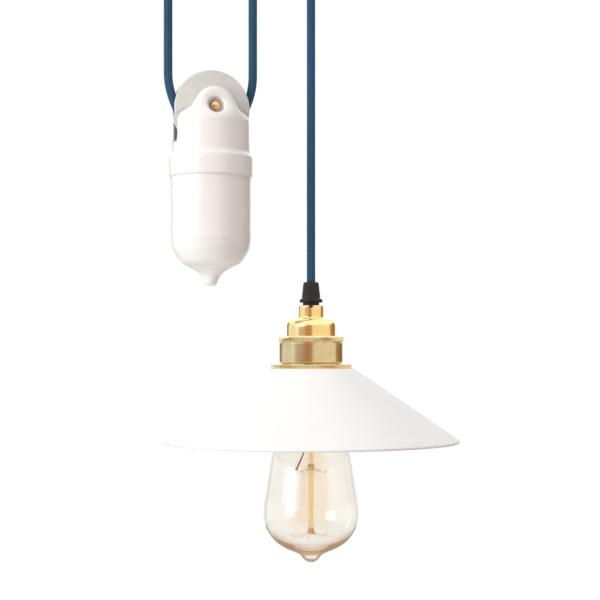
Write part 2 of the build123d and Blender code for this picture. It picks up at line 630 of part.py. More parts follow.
# ---- Bulb ----

def bulb(contact_z):
    x = LAMP_X
    tip_top = contact_z - SEAT_GAP
    cap_top = tip_top - TIP_CONTACT_H - BULB_INSULATOR_H
    cap_end = cap_top - BULB_CAP_H
    keep("bulb_tip_contact", ring(TIP_CONTACT_R, 0, tip_top, tip_top - TIP_CONTACT_H, x))
    contact_base = tip_top - TIP_CONTACT_H
    crown_r = BULB_CAP_R - 3.0
    crown_base = cap_top - 2.5
    wall = 0.5
    keep("bulb_insulator", turned(
        [(0, contact_base), (TIP_CONTACT_R, contact_base), (crown_r, cap_top), (0, cap_top)], x))
    keep("bulb_cap", turned(
        [(0, cap_top), (crown_r, cap_top), (BULB_CAP_R, crown_base), (BULB_CAP_R, cap_end),
         (BULB_CAP_R - wall, cap_end), (BULB_CAP_R - wall, crown_base - wall),
         (crown_r - wall, cap_top - wall), (0, cap_top - wall)], x))

    # Envelope: neck tucked in the cap, round shoulders and the sealed-off tip.
    neck = [(BULB_CAP_R - wall - RUN_GAP, cap_end + 4.0), (BULB_CAP_R - wall - RUN_GAP, cap_end)]
    outer = [(r, cap_end - depth) for r, depth in GLASS_OUTLINE[1:]]
    inner = [(r, cap_end - depth) for r, depth in inset(GLASS_OUTLINE, -GLASS_T)[1:]]
    inner[-1] = (0, cap_end - GLASS_OUTLINE[-1][1] + GLASS_T)
    tips = [(r, cap_end - depth) for r, depth in TIP_OUTLINE]
    nose = (0, tips[-1][1] - 0.4)
    inner_neck = (neck[0][0] - GLASS_T, cap_end + 4.0)
    glass = [
        Line(neck[0], neck[1]),
        Spline(neck[1], *outer, *tips, nose, tangents=((0, -1), (-1, 0))),
        Line(nose, inner[-1]),
        Spline(*reversed(inner), (inner_neck[0], cap_end), tangents=((1, 0), (0, 1))),
        Polyline((inner_neck[0], cap_end), inner_neck, neck[0]),
    ]
    keep("bulb_glass", Pos(x, 0, 0) * revolve(Plane.XZ * make_face(glass), Axis.Z))

    # Glass stem with a flared foot in the neck, and the wire cage it carries.
    flare_top = cap_end + 2.0
    flare_r = inner_neck[0] - RUN_GAP
    flare_end = cap_end - STEM_FLARE_H
    rod_end = cap_end - STEM_END
    keep("bulb_stem", turned(
        [(0, flare_top), (flare_r, flare_top), (flare_r * 0.6, flare_top - 6), (3.2, flare_end + 4),
         (STEM_ROD_R, flare_end), (STEM_ROD_R, rod_end), (0, rod_end)],
        x, radii=[0, 0, 6.0, 6.0, 0, 1.2, 0]))
    top_r, top_drop = CAGE_TOP
    foot_r, foot_drop = CAGE_FOOT
    top_z, foot_z = cap_end - top_drop, cap_end - foot_drop

    def post(radius, index, z):
        angle = 2 * math.pi * index / CAGE_POSTS
        return (x + radius * math.cos(angle), radius * math.sin(angle), z)

    supports, strands = [], []
    for i in range(CAGE_POSTS):
        upper_hook = post(top_r - WIRE_R, i, top_z)
        lower_hook = post(foot_r - WIRE_R, i + 0.5, foot_z)
        supports.append(rod(WIRE_R, post(STEM_ROD_R, i, top_z + 3.0), upper_hook))
        supports.append(rod(WIRE_R, post(STEM_ROD_R, i + 0.5, rod_end + 1.5), lower_hook))
        strands.append(rod(FILAMENT_R, post(top_r, i + 0.04, top_z), post(foot_r, i + 0.46, foot_z)))
        if i < CAGE_POSTS - 1:
            strands.append(rod(FILAMENT_R, post(foot_r, i + 0.54, foot_z), post(top_r, i + 0.96, top_z)))
    keep("filament_supports", *supports)
    keep("filament", *strands)
    leads = []
    for index in (0, CAGE_POSTS / 2):
        leads.append(rod(WIRE_R, post(3.0, index, flare_end + 3.5), post(top_r, index, top_z + 1.0)))
    keep("lead_wires", *leads)


ceiling_fitting()
counterweight()
skirt_z, contact_bottom = lampholder()
shade_and_rings(skirt_z)
bulb(contact_bottom)

os.makedirs("parts", exist_ok=True)
for part_name, part_solids in PARTS.items():
    solids = [s for part in part_solids for s in part.solids()]
    export_step(Compound(children=solids), f"parts/{part_name}.step")
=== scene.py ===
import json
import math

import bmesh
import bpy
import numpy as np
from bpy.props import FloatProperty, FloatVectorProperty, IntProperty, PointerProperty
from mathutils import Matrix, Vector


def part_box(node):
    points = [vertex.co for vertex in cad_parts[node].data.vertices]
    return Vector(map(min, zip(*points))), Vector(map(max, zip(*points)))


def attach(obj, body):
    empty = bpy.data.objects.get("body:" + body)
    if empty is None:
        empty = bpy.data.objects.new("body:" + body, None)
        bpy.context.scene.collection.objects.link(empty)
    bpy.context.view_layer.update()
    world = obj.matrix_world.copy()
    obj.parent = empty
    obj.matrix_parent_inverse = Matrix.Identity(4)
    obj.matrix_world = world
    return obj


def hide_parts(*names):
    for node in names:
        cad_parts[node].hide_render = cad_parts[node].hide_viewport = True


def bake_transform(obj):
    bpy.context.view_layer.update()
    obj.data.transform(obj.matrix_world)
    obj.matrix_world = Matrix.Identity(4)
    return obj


bl_info = {
    "name": "Rise-and-fall pendant lamp",
    "version": (1, 0, 0),
    "blender": (4, 5, 0),
    "location": "View3D > Sidebar > Pendant",
    "description": "Builds the braided flex, porcelain counterweight, brass lampholder, shade and bulb",
    "category": "Object",
}

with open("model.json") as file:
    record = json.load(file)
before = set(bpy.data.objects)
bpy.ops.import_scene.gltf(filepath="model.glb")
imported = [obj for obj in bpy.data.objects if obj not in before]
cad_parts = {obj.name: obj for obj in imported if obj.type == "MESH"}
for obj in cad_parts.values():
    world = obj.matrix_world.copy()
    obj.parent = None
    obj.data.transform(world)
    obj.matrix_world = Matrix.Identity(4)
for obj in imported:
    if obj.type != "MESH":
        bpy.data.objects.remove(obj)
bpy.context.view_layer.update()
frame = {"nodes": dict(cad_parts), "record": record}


def middle(node):
    """Centre of a frame node's box."""
    low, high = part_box(node)
    return (low + high) / 2


def top(node):
    """Height of a frame node's upper end."""
    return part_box(node)[1].z


def bottom(node):
    """Height of a frame node's lower end."""
    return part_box(node)[0].z


MM = 0.001
LAMP_X = middle("holder_barrel").x
WEIGHT = middle("weight_wheel")
CEILING_WHEEL = middle("ceiling_wheel")
ANCHOR_X = middle("flex_anchor_run").x


def length(name, description, default):
    """A length that a user may change, in metres."""
    return FloatProperty(name=name, description=description, default=default, unit="LENGTH", precision=5)


def colour(name, description, default):
    """A colour that a user may change."""
    return FloatVectorProperty(
        name=name, description=description, default=default, subtype="COLOR", size=4, min=0.0, max=1.0)


# ---- Settings ----

class FlexSettings(bpy.types.PropertyGroup):
    diameter: length("Diameter", "Outer diameter of the braided flex", 0.0056)
    relief: length("Relief", "Height of a braid strand over its neighbour", 0.00034)
    ring: length("Ring step", "Distance between two rings of the mesh", 0.00042)
    strands: IntProperty(name="Strands", description="Braid strands in each direction", default=9)
    around: IntProperty(name="Around", description="Mesh points round the flex", default=54)
    pitch: length("Lay", "Length of flex in which one strand moves on by its own width", 0.0019)
    thread: colour("Thread", "Colour of the braid's blue thread", (0.060, 0.200, 0.400, 1))
    shadow: colour("Shadow", "Colour between the strands", (0.004, 0.010, 0.016, 1))


class PorcelainSettings(bpy.types.PropertyGroup):
    body_r: length("Body radius", "Radius of the head below its shoulders", 0.0257)
    crown: length("Crown", "Top of the rounded body above the wheel's axis", -0.0012)
    shoulder: length("Shoulder", "Rounding of the shoulders", 0.0085)
    boss_r: length("Boss radius", "Radius of the cheek round the axle", 0.0130)
    boss_half: length("Boss half width", "Half of the head's width across the two cheeks", 0.0195)
    boss_round: length("Boss rounding", "Rounding of the cheek's rim", 0.0040)
    flow: length("Flow", "How softly the cheek runs into the shoulder", 0.0075)
    recess_r: length("Recess radius", "Dish round the axle's head", 0.00525)
    recess_depth: length("Recess depth", "Depth of the dish", 0.0036)
    slot_half: length("Slot half width", "Half the width of the slot for wheel and flex", 0.0070)
    slot_flare: length("Slot flare", "How far each cheek is eased where the flex runs in", 0.0020)
    slot_depth: length("Slot depth", "Slot's lip below the axis", 0.0218)
    slot_round: length("Slot rounding", "Rounding at the bottom of the slot", 0.0030)
    pocket_r: length("Pocket radius", "Round pocket that clears the wheel", 0.0260)
    edge: length("Edge", "Softness of the glazed edges", 0.0011)
    collar_r: length("Collar radius", "Collar that laps the pot", 0.0274)
    collar_h: length("Collar height", "Height of the collar", 0.0136)
    socket_r: length("Socket radius", "Bore for the pot's neck", 0.0230)
    grain: length("Grain", "Mesh step of the head", 0.00062)


class WheelSettings(bpy.types.PropertyGroup):
    rim_r: length("Rim radius", "Radius of the flanges", 0.0250)
    half: length("Half width", "Half the wheel's width", 0.00625)
    groove_r: length("Groove radius", "Radius at the groove's bottom", 0.0169)
    groove_half: length("Groove half width", "Half width of the round groove", 0.0031)
    mouth_half: length("Mouth half width", "Half width of the groove at the rim", 0.0045)
    bore_r: length("Bore radius", "Bore for the bush", 0.0050)


class HolderSettings(bpy.types.PropertyGroup):
    neck_r: length("Neck radius", "Brass neck under the grip", 0.0083)
    neck_h: length("Neck height", "Height of the neck", 0.0085)
    cap_r: length("Cap radius", "Domed cap", 0.0164)
    shoulder: length("Shoulder", "Rounding of the cap's shoulder", 0.0055)
    sheet: length("Wall", "Brass wall", 0.0012)
    ring_r: length("Ring radius", "Knurled union ring", 0.0217)
    barrel_r: length("Barrel radius", "Wide band of the barrel", 0.0213)
    thread_r: length("Thread radius", "Shade thread", 0.01975)
    thread_pitch: length("Thread pitch", "Pitch of the shade thread", 0.0020)
    disc_r: length("Disc radius", "Knurled disc over the shade", 0.0270)
    ring_teeth: IntProperty(name="Ring teeth", description="Knurls round the union ring", default=124)
    disc_teeth: IntProperty(name="Disc teeth", description="Knurls round the shade disc", default=100)


class ShadeSettings(bpy.types.PropertyGroup):
    top_r: length("Top radius", "Flat top of the cone", 0.0289)
    rim_r: length("Rim radius", "Radius at the rolled hem", 0.0995)
    drop: length("Drop", "Height of the cone", 0.0480)
    sheet: length("Sheet", "Thickness of the enamelled sheet", 0.0008)
    hem_r: length("Hem radius", "Radius of the rolled hem", 0.0009)


class BulbSettings(bpy.types.PropertyGroup):
    cap_r: length("Cap radius", "Screw cap", 0.0130)
    cap_pitch: length("Cap pitch", "Pitch of the cap's round thread", 0.0036)
    glass: length("Glass", "Thickness of the envelope", 0.0008)
    rod_r: length("Rod radius", "Glass rod that carries the cage", 0.0018)
    wire: length("Wire radius", "Support wires", 0.00011)
    filament: length("Filament radius", "Carbon thread of the cage", 0.000025)
    posts: IntProperty(name="Posts", description="Hooks at each end of the cage", default=8)


# ---- Mesh helpers ----

def rounded(corners, closed=True, steps=6):
    """Outline of (radius, height[, rounding]) corners with the rounded ones drawn as arcs."""
    points = []
    count = len(corners)
    for i, corner in enumerate(corners):
        here = Vector(corner[:2])
        size = corner[2] if len(corner) > 2 else 0.0
        if size <= 0 or (not closed and i in (0, count - 1)):
            points.append(here)
            continue
        before = (Vector(corners[i - 1][:2]) - here).normalized()
        after = (Vector(corners[(i + 1) % count][:2]) - here).normalized()
        half = before.angle(after) / 2
        centre = here + (before + after).normalized() * size / math.sin(half)
        start = here + before * size / math.tan(half) - centre
        end = here + after * size / math.tan(half) - centre
        turn = math.atan2(start.x * end.y - start.y * end.x, start.dot(end))
        for k in range(steps + 1):
            a = turn * k / steps
            spin = Matrix(((math.cos(a), -math.sin(a)), (math.sin(a), math.cos(a))))
            points.append(centre + spin @ start)
    return [(max(p.x, 0.0), p.y) for p in points]


def flowing(points, steps=8):
    """Smooth line through the points, as a Catmull-Rom curve."""
    p = [np.array(q, float) for q in points]
    p = [2 * p[0] - p[1]] + p + [2 * p[-1] - p[-2]]
    line = []
    for a, b, c, d in zip(p, p[1:], p[2:], p[3:]):
        for k in range(steps):
            t = k / steps
            line.append(0.5 * (2 * b + (c - a) * t + (2 * a - 5 * b + 4 * c - d) * t ** 2
                               + (3 * b - a - 3 * c + d) * t ** 3))
    line.append(p[-2])
    return [(float(max(q[0], 0.0)), float(q[1])) for q in line]


def dense(outline, step, closed=True):
    """The outline with its long stretches divided."""
    ends = outline[1:] + outline[:1] if closed else outline[1:]
    points = []
    for (r0, z0), (r1, z1) in zip(outline, ends):
        parts = max(1, math.ceil(math.hypot(r1 - r0, z1 - z0) / step))
        points += [(r0 + (r1 - r0) * k / parts, z0 + (z1 - z0) * k / parts) for k in range(parts)]
    return points if closed else points + [outline[-1]]


def finished_mesh(name, verts, faces, uvs=None, sharp=35.0):
    """Mesh with merged poles, outward normals and smooth faces that part at sharp edges."""
    mesh = bpy.data.meshes.new(name)
    mesh.from_pydata(verts, [], faces)
    if uvs is not None:
        layer = mesh.uv_layers.new(name="turn")
        layer.data.foreach_set("uv", np.asarray(uvs, np.float32).ravel())
    work = bmesh.new()
    work.from_mesh(mesh)
    bmesh.ops.remove_doubles(work, verts=work.verts, dist=1e-7)
    bmesh.ops.recalc_face_normals(work, faces=work.faces)
    work.to_mesh(mesh)
    work.free()
    mesh.shade_smooth()
    mesh.set_sharp_from_angle(angle=math.radians(sharp))
    return mesh


def turned(name, outline, x=0.0, steps=128, ripple=None, closed=True, place=None, sharp=35.0):
    """Mesh turned about the vertical line at x; ripple(angle, radius, height) adds to the radius."""
    r, z = (np.array(column)[:, None] for column in zip(*outline))
    angle = (np.arange(steps) / steps * 2 * math.pi + math.pi / 2)[None, :]
    radius = r + (ripple(angle, r, z) if ripple else 0.0) + 0.0 * angle
    verts = np.stack([x + radius * np.cos(angle), radius * np.sin(angle), z + 0.0 * angle], -1)
    verts = verts.reshape(-1, 3)
    if place is not None:
        verts = np.array([place @ Vector(v) for v in verts])
    count = len(outline)
    along = np.concatenate([[0.0], np.cumsum(np.hypot(np.diff(r[:, 0], append=r[0, 0]),
                                                      np.diff(z[:, 0], append=z[0, 0])))])
    girth = 2 * math.pi * float(r.max())
    faces, uvs = [], []
    for i in range(count if closed else count - 1):
        low, high = i * steps, (i + 1) % count * steps
        for j in range(steps):
            k = (j + 1) % steps
            faces.append((low + j, low + k, high + k, high + j))
            u0, u1 = girth * j / steps, girth * (j + 1) / steps
            uvs += [(u0, along[i]), (u1, along[i]), (u1, along[i + 1]), (u0, along[i + 1])]
    return finished_mesh(name, verts.tolist(), faces, uvs, sharp)


def from_field(name, field, low, high, step):
    """Closed mesh where field(x, y, z) is 0: a net over the cubes that it crosses, pulled on to it."""
    axes = [np.arange(a, b + step, step) for a, b in zip(low, high)]
    inside = field(*np.meshgrid(*axes, indexing="ij")) < 0
    corners = [inside[i:inside.shape[0] - 1 + i, j:inside.shape[1] - 1 + j, k:inside.shape[2] - 1 + k]
               for i in (0, 1) for j in (0, 1) for k in (0, 1)]
    total = sum(c.astype(int) for c in corners)
    mixed = (total > 0) & (total < 8)
    number = np.full(mixed.shape, -1)
    number[mixed] = np.arange(mixed.sum())
    points = np.stack([axis[index] + step / 2 for axis, index in zip(axes, np.nonzero(mixed))], -1)
    faces = []
    for axis in range(3):
        one, two = [a for a in range(3) if a != axis]
        first = np.take(inside, range(inside.shape[axis] - 1), axis)
        second = np.take(inside, range(1, inside.shape[axis]), axis)
        at = np.array(np.nonzero(first != second)).T
        around = []
        for a, b in ((0, 0), (-1, 0), (-1, -1), (0, -1)):
            cell = at.copy()
            cell[:, one] += a
            cell[:, two] += b
            around.append(number[tuple(cell.T)])
        faces += np.stack(around, -1).tolist()

    def pull(p):
        """Move the points on to the surface, down the field's slope."""
        for _ in range(4):
            value = field(*p.T)
            small = step * 0.05
            slope = np.stack([(field(*(p + small * e).T) - field(*(p - small * e).T)) / (2 * small)
                              for e in np.eye(3)], -1)
            size = np.maximum((slope ** 2).sum(-1), 0.05)
            move = -value / size
            p = p + np.clip(move, -step, step)[:, None] * slope
        return p

    points = pull(points)
    edges = np.array([(f[a], f[(a + 1) % 4]) for f in faces for a in range(4)])
    for _ in range(3):
        total = np.zeros_like(points)
        np.add.at(total, edges[:, 0], points[edges[:, 1]])
        number_of = np.bincount(edges[:, 0], minlength=len(points))[:, None]
        points = pull(0.5 * points + 0.5 * total / np.maximum(number_of, 1))
    return finished_mesh(name, points.tolist(), faces, sharp=60.0)


def centreline(points, spacing):
    """Evenly spaced points along the NURBS curve that the route's points control."""
    data = bpy.data.curves.new("route", "CURVE")
    data.dimensions = "3D"
    spline = data.splines.new("NURBS")
    spline.points.add(len(points) - 1)
    for point, place in zip(spline.points, points):
        point.co = (*place, 1.0)
    spline.order_u = 3
    spline.use_endpoint_u = True
    spline.resolution_u = 24
    route = bpy.data.objects.new("route", data)
    bpy.context.scene.collection.objects.link(route)
    mesh = bpy.data.meshes.new_from_object(route)
    line = np.array([v.co for v in mesh.vertices])
    bpy.data.objects.remove(route)
    bpy.data.curves.remove(data)
    bpy.data.meshes.remove(mesh)
    reach = np.concatenate([[0.0], np.cumsum(np.linalg.norm(np.diff(line, axis=0), axis=1))])
    count = max(2, round(reach[-1] / spacing) + 1)
    wanted = np.linspace(0.0, reach[-1], count)
    return np.stack([np.interp(wanted, reach, line[:, k]) for k in range(3)], -1)


def tube(name, line, radius, around, relief=None):
    """Closed tube along a line; relief(turn, distance) adds to the radius."""
    line = np.asarray(line, float)
    ahead = np.gradient(line, axis=0)
    ahead /= np.linalg.norm(ahead, axis=1)[:, None]
    side = np.cross(ahead[0], (0, 1, 0) if abs(ahead[0][1]) < 0.9 else (1, 0, 0))
    distance = np.concatenate([[0.0], np.cumsum(np.linalg.norm(np.diff(line, axis=0), axis=1))])
    turn = np.arange(around) / around
    verts = []
    for place, along, d in zip(line, ahead, distance):
        side = side - along * np.dot(side, along)
        side /= np.linalg.norm(side)
        other = np.cross(along, side)
        r = radius + (relief(turn, d) if relief else 0.0 * turn)
        ring = place + r[:, None] * (np.cos(2 * math.pi * turn)[:, None] * side
                                     + np.sin(2 * math.pi * turn)[:, None] * other)
        verts.append(ring)
    verts = np.concatenate(verts)
    faces, uvs = [], []
    for i in range(len(line) - 1):
        for j in range(around):
            k = (j + 1) % around
            faces.append((i * around + j, i * around + k, (i + 1) * around + k, (i + 1) * around + j))
            uvs += [(j / around, distance[i]), ((j + 1) / around, distance[i]),
                    ((j + 1) / around, distance[i + 1]), (j / around, distance[i + 1])]
    for start in (0, (len(line) - 1) * around):
        faces.append(tuple(range(start, start + around)))
        uvs += [(t, distance[-1] if start else 0.0) for t in turn]
    return finished_mesh(name, verts.tolist(), faces, uvs, sharp=70.0)


def joined(name, meshes):
    """One mesh from several; the several are removed."""
    work = bmesh.new()
    for mesh in meshes:
        work.from_mesh(mesh)
        bpy.data.meshes.remove(mesh)
    mesh = bpy.data.meshes.new(name)
    work.to_mesh(mesh)
    work.free()
    mesh.shade_smooth()
    mesh.set_sharp_from_angle(angle=math.radians(50))
    return mesh


def bored(mesh, start, end, radius):
    """The mesh with a round hole from start to end."""
    start, end = Vector(start), Vector(end)
    way = end - start
    lay = Matrix.Translation((start + end) / 2) @ way.to_track_quat("Z", "Y").to_matrix().to_4x4()
    work = bmesh.new()
    bmesh.ops.create_cone(work, cap_ends=True, segments=32, radius1=radius, radius2=radius,
                          depth=way.length, matrix=lay)
    drill_mesh = bpy.data.meshes.new("drill")
    work.to_mesh(drill_mesh)
    work.free()
    drill = bpy.data.objects.new("drill", drill_mesh)
    blank = bpy.data.objects.new("blank", mesh)
    for thing in (drill, blank):
        bpy.context.scene.collection.objects.link(thing)
    cut = blank.modifiers.new("cut", "BOOLEAN")
    cut.operation = "DIFFERENCE"
    cut.solver = "EXACT"
    cut.object = drill
    bpy.context.view_layer.update()
    graph = bpy.context.evaluated_depsgraph_get()
    result = bpy.data.meshes.new_from_object(blank.evaluated_get(graph))
    name = mesh.name
    for thing in (drill, blank):
        bpy.data.objects.remove(thing)
    bpy.data.meshes.remove(mesh)
    bpy.data.meshes.remove(drill_mesh)
    result.name = name
    result.set_sharp_from_angle(angle=math.radians(35))
    return result


def write_painted_shade_and_polish(mesh, values):
    """Store how much each vertex darkens, from 0 to 1, for the finishes' darker colour: painted shade on
    the porcelain, old polish in the brass knurls.
    """
    painted_shade_and_polish = mesh.attributes.new("painted_shade_and_polish", "FLOAT", "POINT")
    painted_shade_and_polish.data.foreach_set("value", values.astype(np.float32))


def piece(name, mesh, slot, body=None, nodes=(), look=None):
    """Object of a mesh in its slot's finish or another look, on its body and in place of its nodes."""
    made = bpy.data.objects.new(name, mesh)
    bpy.context.scene.collection.objects.link(made)
    mesh.materials.clear()
    mesh.materials.append(finish(look or slot))
    if body:
        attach(made, body)
    if nodes:
        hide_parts(*nodes)
    return made


# ---- Shader effects ----

def effect_group(name, inputs):
    """Node group with the named inputs that gives Colour, Roughness and Height."""
    group = bpy.data.node_groups.new(name, "ShaderNodeTree")
    for label, kind, value in inputs:
        socket = group.interface.new_socket(name=label, in_out="INPUT", socket_type="NodeSocket" + kind)
        socket.default_value = value
    for label, kind in (("Colour", "Color"), ("Roughness", "Float"), ("Height", "Float")):
        group.interface.new_socket(name=label, in_out="OUTPUT", socket_type="NodeSocket" + kind)
    return group, group.nodes.new("NodeGroupInput").outputs, group.nodes.new("NodeGroupOutput").inputs


def math_node(group, operation, a, b=None, c=None):
    """Output of a math node fed by sockets or numbers."""
    node = group.nodes.new("ShaderNodeMath")
    node.operation = operation
    for socket, value in zip(node.inputs, (a, b, c)):
        if value is None:
            continue
        if isinstance(value, (int, float)):
            socket.default_value = value
        else:
            group.links.new(value, socket)
    return node.outputs[0]


def mixed_colour(group, factor, a, b):
    """Colour a turning into colour b."""
    node = group.nodes.new("ShaderNodeMix")
    node.data_type = "RGBA"
    group.links.new(factor, node.inputs[0])
    group.links.new(a, node.inputs[6])
    group.links.new(b, node.inputs[7])
    return node.outputs[2]


def over_painted_shade_and_polish(group, clean, given, out):
    """Colour output: the clean colour, turning into the darker colour where the mesh says so: painted shade
    on the porcelain, old polish on the brass.
    """
    painted_shade_and_polish = group.nodes.new("ShaderNodeAttribute")
    painted_shade_and_polish.attribute_name = "painted_shade_and_polish"
    group.links.new(mixed_colour(group, painted_shade_and_polish.outputs["Fac"], clean, given["Painted_Shade_And_Polish"]), out["Colour"])


def varied_roughness(group, change, given, out):
    """Roughness output: the finish's own, plus its spread times the change."""
    rough = math_node(group, "MULTIPLY_ADD", change, given["Spread"], given["Roughness"])
    group.links.new(rough, out["Roughness"])


def clamped(group, value):
    """The value held between 0 and 1."""
    return math_node(group, "MINIMUM", math_node(group, "MAXIMUM", value, 0.0), 1.0)


def noise(group, where, scale, detail=3.0):
    """Noise value from a coordinate and a scale."""
    node = group.nodes.new("ShaderNodeTexNoise")
    node.inputs["Detail"].default_value = detail
    group.links.new(where, node.inputs["Vector"])
    if isinstance(scale, (int, float)):
        node.inputs["Scale"].default_value = scale
    else:
        group.links.new(scale, node.inputs["Scale"])
    return node.outputs[0]


COLOURS = (("Colour", "Color", (0.8, 0.8, 0.8, 1)), ("Second", "Color", (0.5, 0.5, 0.5, 1)))
ROUGH = (("Roughness", "Float", 0.4), ("Spread", "Float", 0.2))


def mottle_group():
    """Cloudy change between two colours, with fine specks."""
    # Its dark colour is painted shade, laid where the mesh marks shadow.
    group, given, out = effect_group("mottle", COLOURS + ROUGH + (
        ("Clouds", "Float", 40.0), ("Specks", "Float", 1500.0), ("Painted_Shade_And_Polish", "Color", (0.05, 0.042, 0.036, 1))))
    where = group.nodes.new("ShaderNodeTexCoord").outputs["Object"]
    clouds = noise(group, where, given["Clouds"])
    specks = noise(group, where, given["Specks"], 1.0)
    soft = math_node(group, "MULTIPLY_ADD", clouds, 1.6, -0.3)
    low = math_node(group, "MULTIPLY_ADD", soft, 0.8, -0.15)
    both = math_node(group, "MULTIPLY_ADD", specks, 0.5, low)
    clean = mixed_colour(group, math_node(group, "MAXIMUM", both, 0.0), given["Colour"], given["Second"])
    over_painted_shade_and_polish(group, clean, given, out)
    varied_roughness(group, math_node(group, "SUBTRACT", clouds, 0.5), given, out)
    grains = math_node(group, "MULTIPLY", specks, 0.4)
    group.links.new(math_node(group, "MULTIPLY_ADD", clouds, 0.6, grains), out["Height"])
    return group


def spun_group():
    """Fine lines round a turned piece, over slow stains."""
    # Its dark colour is old polish, laid in the valleys of the knurls.
    group, given, out = effect_group("spun", COLOURS + ROUGH + (
        ("Lines", "Float", 2500.0), ("Stains", "Float", 120.0), ("Painted_Shade_And_Polish", "Color", (0.16, 0.09, 0.03, 1))))
    coordinates = group.nodes.new("ShaderNodeTexCoord")
    stretch = group.nodes.new("ShaderNodeVectorMath")
    stretch.operation = "MULTIPLY"
    stretch.inputs[1].default_value = (0.02, 1.0, 1.0)
    group.links.new(coordinates.outputs["UV"], stretch.inputs[0])
    lines = noise(group, stretch.outputs[0], given["Lines"], 2.0)
    stains = noise(group, coordinates.outputs["Object"], given["Stains"])
    streaks = math_node(group, "MULTIPLY_ADD", lines, 0.5, -0.5)
    factor = math_node(group, "MULTIPLY_ADD", stains, 1.3, streaks)
    clean = mixed_colour(group, clamped(group, factor), given["Colour"], given["Second"])
    over_painted_shade_and_polish(group, clean, given, out)
    both = math_node(group, "ADD", lines, stains)
    varied_roughness(group, math_node(group, "SUBTRACT", both, 1.0), given, out)
    group.links.new(lines, out["Height"])
    return group


def braid_group():
    """Over-and-under braid strands from the flex's own turn and distance."""
    group, given, out = effect_group("braid", COLOURS + ROUGH + (
        ("Strands", "Float", 9.0), ("Lay", "Float", 0.0019)))
    coordinates = group.nodes.new("ShaderNodeTexCoord")
    split = group.nodes.new("ShaderNodeSeparateXYZ")
    group.links.new(coordinates.outputs["UV"], split.inputs[0])
    turn = math_node(group, "MULTIPLY", split.outputs[0], given["Strands"])
    run = math_node(group, "DIVIDE", split.outputs[1], given["Lay"])
    right = math_node(group, "ADD", turn, run)
    left = math_node(group, "SUBTRACT", turn, run)
    cell = math_node(group, "ADD", math_node(group, "FLOOR", right), math_node(group, "FLOOR", left))
    over = math_node(group, "FLOORED_MODULO", cell, 2.0)
    across = math_node(group, "ADD", math_node(group, "MULTIPLY", math_node(group, "FRACT", right),
                                               math_node(group, "SUBTRACT", 1.0, over)),
                       math_node(group, "MULTIPLY", math_node(group, "FRACT", left), over))
    crown = math_node(group, "SINE", math_node(group, "MULTIPLY", across, math.pi))
    threads = math_node(group, "SINE", math_node(group, "MULTIPLY", across, math.pi * 8))
    fuzz = noise(group, coordinates.outputs["Object"], 2500.0, 2.0)
    furred = math_node(group, "MULTIPLY_ADD", fuzz, 0.3, crown)
    group.links.new(math_node(group, "MULTIPLY_ADD", threads, 0.12, furred), out["Height"])
    lit = math_node(group, "POWER", math_node(group, "MAXIMUM", crown, 0.0), 1.1)
    shade = math_node(group, "SUBTRACT", 1.0, lit)
    shade = math_node(group, "MULTIPLY_ADD", over, 0.35, shade)
    shade = math_node(group, "MULTIPLY_ADD", math_node(group, "SUBTRACT", fuzz, 0.5), 0.9, shade)
    dark = clamped(group, shade)
    group.links.new(mixed_colour(group, dark, given["Colour"], given["Second"]), out["Colour"])
    varied_roughness(group, fuzz, given, out)
    return group


EFFECTS = {"mottle": mottle_group, "spun": spun_group, "braid": braid_group}

